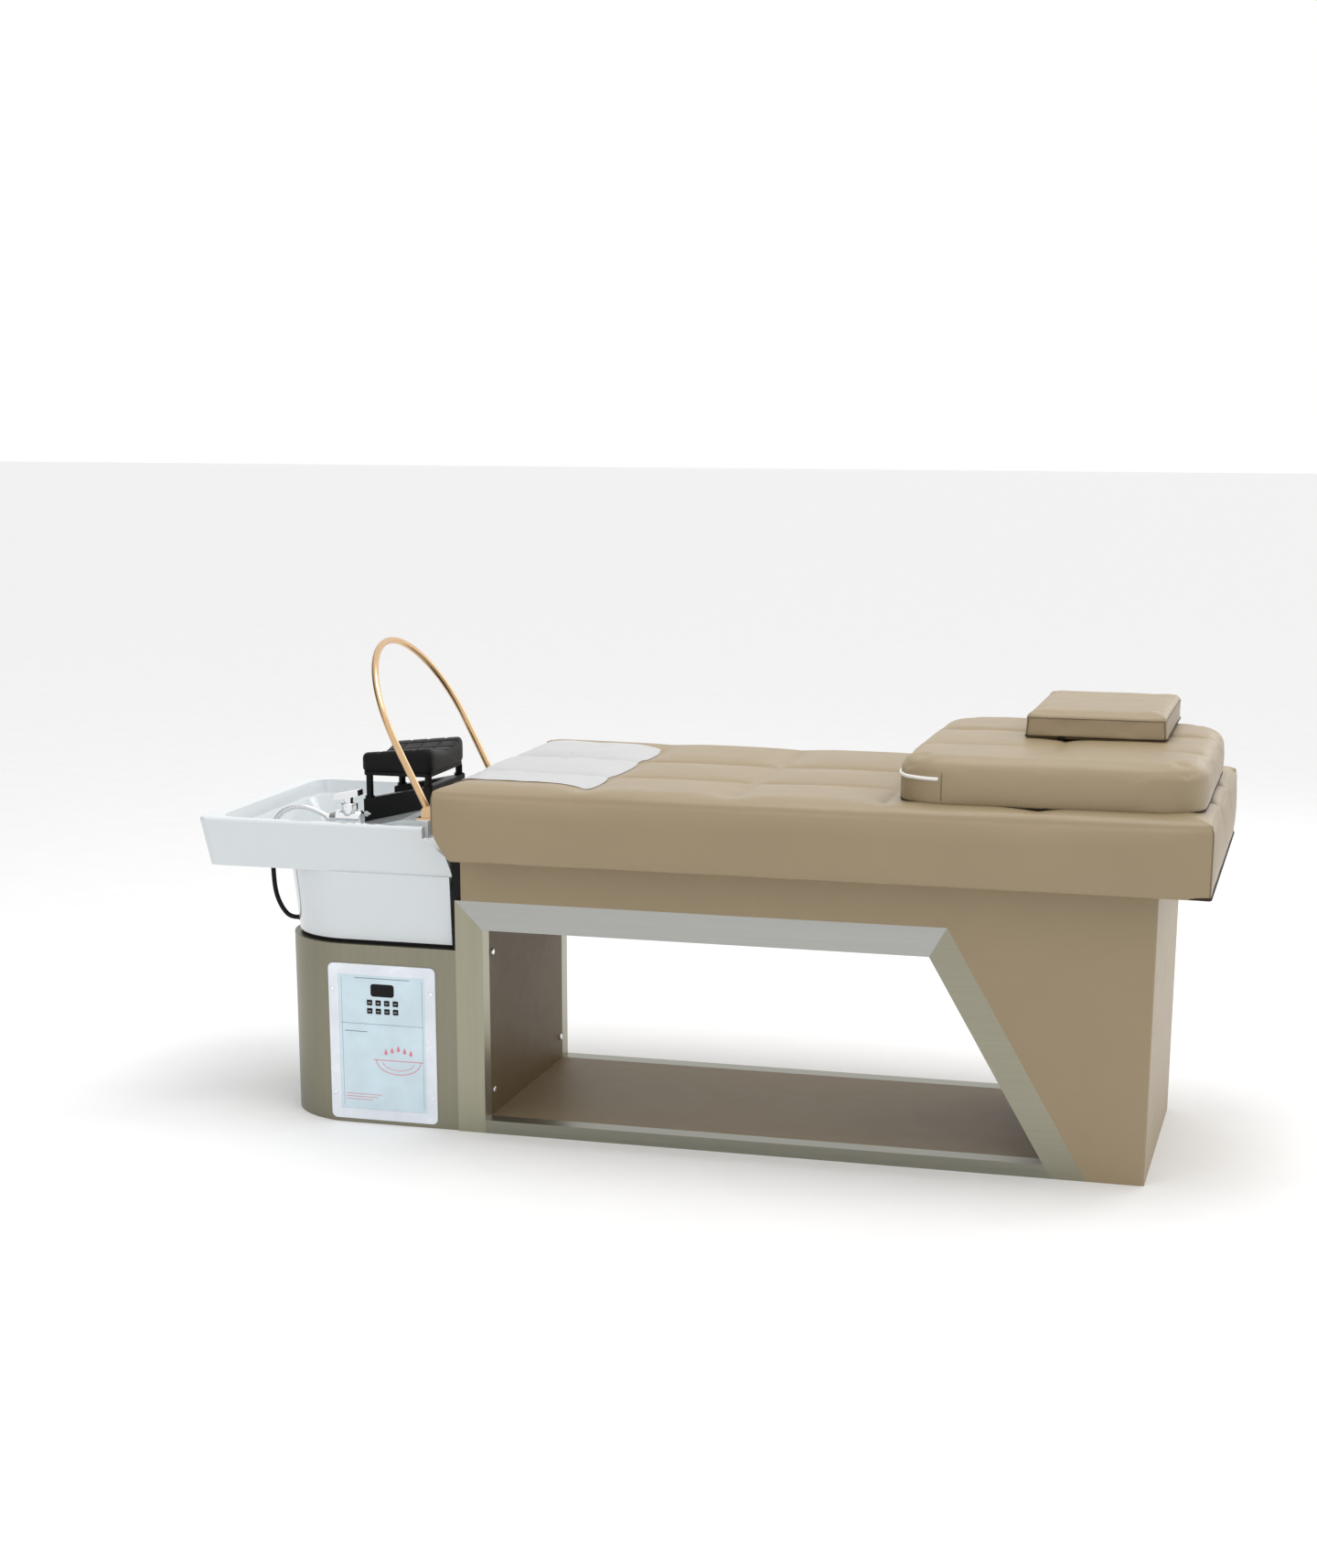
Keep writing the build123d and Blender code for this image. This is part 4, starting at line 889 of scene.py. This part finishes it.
def make_hoses():
    """The wound chrome hose of the mixer and the black supply hose under the basin."""
    line = line_of(MIXER_HOSE)
    winding, core_radius = 0.0030, 0.0054
    points = resampled(line, winding / 4)
    ridge = (0.0, 0.00045, 0.0006, 0.00045)
    radii = [core_radius + ridge[index % 4] for index in range(len(points))]
    chrome = swept("mixer_hose_wound", points, radii, "chrome", "base")
    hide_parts("mixer_hose")
    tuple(MIXER_HOSE[0])
    length_of(points)
    black = route_curve("supply_hose_rubber", SUPPLY_HOSE, 0.005)
    black.data.materials.append(MATERIALS["rubber"])
    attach(black, "base")
    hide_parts("supply_hose")
    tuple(SUPPLY_HOSE[0])
    length_of(line_of(SUPPLY_HOSE))


# ------------------------------------------------------------------ control panel artwork
def flat_shape(outline, y, depth=0.0002):
    """A thin raised shape on a face across Y, from its (x, z) outline."""
    count = len(outline)
    points = [(x, y, z) for x, z in outline] + [(x, y - depth, z) for x, z in outline]
    faces = [tuple(reversed(range(count))), tuple(range(count, 2 * count))]
    for n in range(count):
        m = (n + 1) % count
        faces.append((n, m, m + count, n + count))
    return points, faces


def joined(name, shapes, material, body):
    """Flat shapes made into one piece."""
    points, faces = [], []
    for shape_points, shape_faces in shapes:
        shift = len(points)
        points += shape_points
        faces += [tuple(index + shift for index in face) for face in shape_faces]
    return add_piece(name, points, faces, material, body, smooth=False)


def bar(x0, x1, z0, z1, y, depth=0.0002):
    return flat_shape([(x0, z0), (x1, z0), (x1, z1), (x0, z1)], y, depth)


def stroke(line, width, y, depth=0.0002):
    """A line of constant width through (x, z) points, as one closed band."""
    left, right = [], []
    for index, (x, z) in enumerate(line):
        ax, az = line[max(index - 1, 0)]
        bx, bz = line[min(index + 1, len(line) - 1)]
        run = math.hypot(bx - ax, bz - az)
        nx, nz = -(bz - az) / run * width / 2, (bx - ax) / run * width / 2
        left.append((x + nx, z + nz))
        right.append((x - nx, z - nz))
    return flat_shape(right + left[::-1], y, depth)


def arc(cx, cz, rx, rz, start, end, count=24):
    return [
        (
            cx + rx * math.cos(math.radians(start + (end - start) * n / count)),
            cz + rz * math.sin(math.radians(start + (end - start) * n / count)),
        )
        for n in range(count + 1)
    ]


def make_panel_art():
    """Plain bars in place of print, a basin with drops, and a dash on each key."""
    low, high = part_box("panel_fascia")
    sunk = 0.00002
    face_y = low.y + sunk
    left, right = low.x, high.x
    grey = [
        bar(left + 0.004, right - 0.004, 0.2186, 0.2194, face_y),
        bar(left + 0.036, right - 0.034, 0.3170, 0.3186, face_y),
        bar(left + 0.012, left + 0.062, 0.2010, 0.2026, face_y),
    ]
    for edge_x in (left + 0.006, right - 0.0066):
        grey.append(bar(edge_x, edge_x + 0.0006, low.z + 0.006, high.z - 0.006, face_y))
    joined("panel_lines", grey, "print_grey", "base")
    middle_x, middle_z = right - 0.062, 0.142
    rose = []
    for n in range(3):
        height = 0.064 - 0.006 * n
        rose.append(bar(left + 0.010, left + 0.092 - 0.010 * n, height, height + 0.0012, face_y))
    rose.append(stroke(arc(middle_x, middle_z, 0.050, 0.030, 180, 360), 0.0016, face_y))
    rose.append(stroke([(middle_x - 0.056, middle_z), (middle_x + 0.056, middle_z)], 0.0016, face_y))
    rose.append(stroke(arc(middle_x, middle_z - 0.002, 0.036, 0.019, 190, 350), 0.0012, face_y))
    for n in range(5):
        drop_x = middle_x - 0.028 + 0.014 * n
        top = middle_z + 0.034 - 0.004 * abs(n - 2)
        drop = [(drop_x, top)] + arc(drop_x, top - 0.010, 0.0036, 0.0044, 40, -220, 14)
        rose.append(flat_shape(drop[::-1], face_y))
    joined("panel_pictogram", rose, "print_rose", "base")
    for number in range(1, 9):
        key_low, key_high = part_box(f"button_{number}")
        cx, cz = (key_low.x + key_high.x) / 2, (key_low.z + key_high.z) / 2
        mark = bar(cx - 0.0030, cx + 0.0030, cz - 0.0005, cz + 0.0005, key_low.y + sunk, 0.00015)
        joined(f"button_{number}_mark", [mark], "zip", f"button_{number}")


# ------------------------------------------------------------------ piping, seams and zip
PIPING = 0.0014
OUTSIDE = 0.05                     # how far outside a pad its rays start


def piped(name, line, body, radius=PIPING, material="piping"):
    """A thin bead laid along a line on a soft piece."""
    points = resampled(line, 0.004)
    return swept(name, points, [radius] * len(points), material, body, sides=8)


def upright_seam(tree, outside, way, bottom, top):
    """A line up the side of a pad, from rays shot at it from outside."""
    count = max(3, round((top - bottom) / 0.008))
    starts = [(*outside, bottom + (top - bottom) * n / count) for n in range(count + 1)]
    return laid_line(tree, starts, way, 0.0003)


def outline_at(tree, low, high, radius, z):
    """A line round a pad at a height, from rays shot inwards at its rounded rectangle."""
    line = []
    centre_x, centre_y = (low.x + high.x) / 2, (low.y + high.y) / 2
    half_x, half_y = (high.x - low.x) / 2 - radius, (high.y - low.y) / 2 - radius
    for side_x, side_y, start in ((1, 1, 0), (-1, 1, 90), (-1, -1, 180), (1, -1, 270)):
        for n in range(9):
            turn = math.radians(start + 90 * n / 8)
            way = Vector((math.cos(turn), math.sin(turn), 0))
            core = Vector((centre_x + side_x * half_x, centre_y + side_y * half_y, z))
            line += laid_line(tree, [core + way * (radius + OUTSIDE)], -way, 0.0002)
    return line + line[:1]


def make_mattress_seams(mattress):
    """Seams up the four corners and a dark welt round the base, which also serves as painted contact
    shadow.
    """
    tree = surface_of(mattress)
    low, high = MATTRESS_LOW, MATTRESS_HIGH
    for name, side in (("near", -1), ("far", 1)):
        outside = (high.x + OUTSIDE, side * (high.y + OUTSIDE))
        line = upright_seam(tree, outside, (-1, -side, 0), low.z + 0.006, EDGE_TOP - 0.010)
        piped(f"mattress_corner_seam_{name}", line, "base")
        outside = (low.x - OUTSIDE, side * (high.y + OUTSIDE))
        line = upright_seam(tree, outside, (1, -side, 0), 0.648, EDGE_TOP - 0.010)
        piped(f"mattress_head_seam_{name}", line, "base")
    base = outline_at(tree, low, high, 0.004, low.z + 0.004)
    piped("mattress_base_shadow_welt", base, "base", 0.0032, "welt")


def make_cushion_trim(cushion):
    """Side seams, the white zip round the near corner of the head end, a dark base welt that also serves as
    painted contact shadow, and a tab.
    """
    tree = surface_of(cushion)
    low, high = CUSHION_LOW, CUSHION_HIGH
    seam_x = low.x + 0.094
    for name, side in (("near", -1), ("far", 1)):
        line = upright_seam(
            tree, (seam_x, side * (high.y + OUTSIDE)), (0, -side, 0), low.z + 0.012, high.z - 0.030
        )
        piped(f"cushion_side_seam_{name}", line, "leg_cushion", 0.0010)
    zip_z = low.z + (high.z - low.z) * 0.56
    starts, ways = [], []
    for y in np.linspace(0.20, low.y + CUSHION_RADIUS, 30):
        starts.append(Vector((low.x - OUTSIDE, y, zip_z)))
        ways.append(Vector((1, 0, 0)))
    corner = Vector((low.x + CUSHION_RADIUS, low.y + CUSHION_RADIUS, zip_z))
    for n in range(1, 19):
        turn = math.radians(90 * n / 19)
        way = Vector((math.cos(turn), math.sin(turn), 0))
        starts.append(corner - way * (CUSHION_RADIUS + OUTSIDE))
        ways.append(way)
    line = []
    for start, way in zip(starts, ways):
        line += laid_line(tree, [start], way, 0.0004)
    teeth = resampled(line, 0.0012)
    radii = [0.0040 if index % 2 else 0.0031 for index in range(len(teeth))]
    swept("cushion_zip", teeth, radii, "zip", "leg_cushion", sides=10)
    base = outline_at(tree, low, high, CUSHION_RADIUS, low.z + 0.004)
    piped("cushion_base_shadow_welt", base, "leg_cushion", 0.0022, "welt")
    make_tab("cushion_tab", (low.x + high.x) / 2, low.y + 0.003, low.z + 0.004, "leg_cushion")


def make_pillow_trim(pillow):
    """Piping up the corners and round the rim, a dark base welt that also serves as painted contact shadow,
    and a tab.
    """
    tree = surface_of(pillow)
    low, high = PILLOW_LOW, PILLOW_HIGH
    for side_x, x in (("head", low.x), ("foot", high.x)):
        for side_y, y in (("near", low.y), ("far", high.y)):
            away = Vector((math.copysign(1, x - (low.x + high.x) / 2), math.copysign(1, y), 0))
            outside = (x + away.x * OUTSIDE, y + away.y * OUTSIDE)
            line = upright_seam(tree, outside, -away, low.z + 0.008, high.z - 0.012)
            piped(f"pillow_seam_{side_x}_{side_y}", line, "pillow")
    base = outline_at(tree, low, high, PILLOW_RADIUS, low.z + 0.005)
    piped("pillow_base_shadow_welt", base, "pillow", 0.0017, "welt")
    rim = outline_at(tree, low, high, PILLOW_RADIUS, high.z - 0.013)
    piped("pillow_rim_piping", rim, "pillow", 0.0011)
    make_tab("pillow_tab", low.x + 0.075, low.y + 0.003, low.z + 0.004, "pillow")


def make_tab(name, x, y, z, body):
    """A small black stop under the front edge of a cushion."""
    half_x, half_y, half_z = 0.008, 0.004, 0.003
    low = Vector((x - half_x, y - half_y, z - half_z))
    high = Vector((x + half_x, y + half_y, z + half_z))
    _, shaped, faces = boxed_pad(low, high, high.z, 0.004, ((), ()), 0.003, (0.0015, 0.0015))
    add_piece(name, shaped, faces, "black_plastic", body)


make_camera()
make_studio()
dress_nodes()
mattress = make_mattress()
cushion = make_leg_cushion()
pillow = make_pillow()
make_neck_pad()
make_film(mattress)
make_hoses()
make_mattress_seams(mattress)
make_cushion_trim(cushion)
make_pillow_trim(pillow)
make_panel_art()
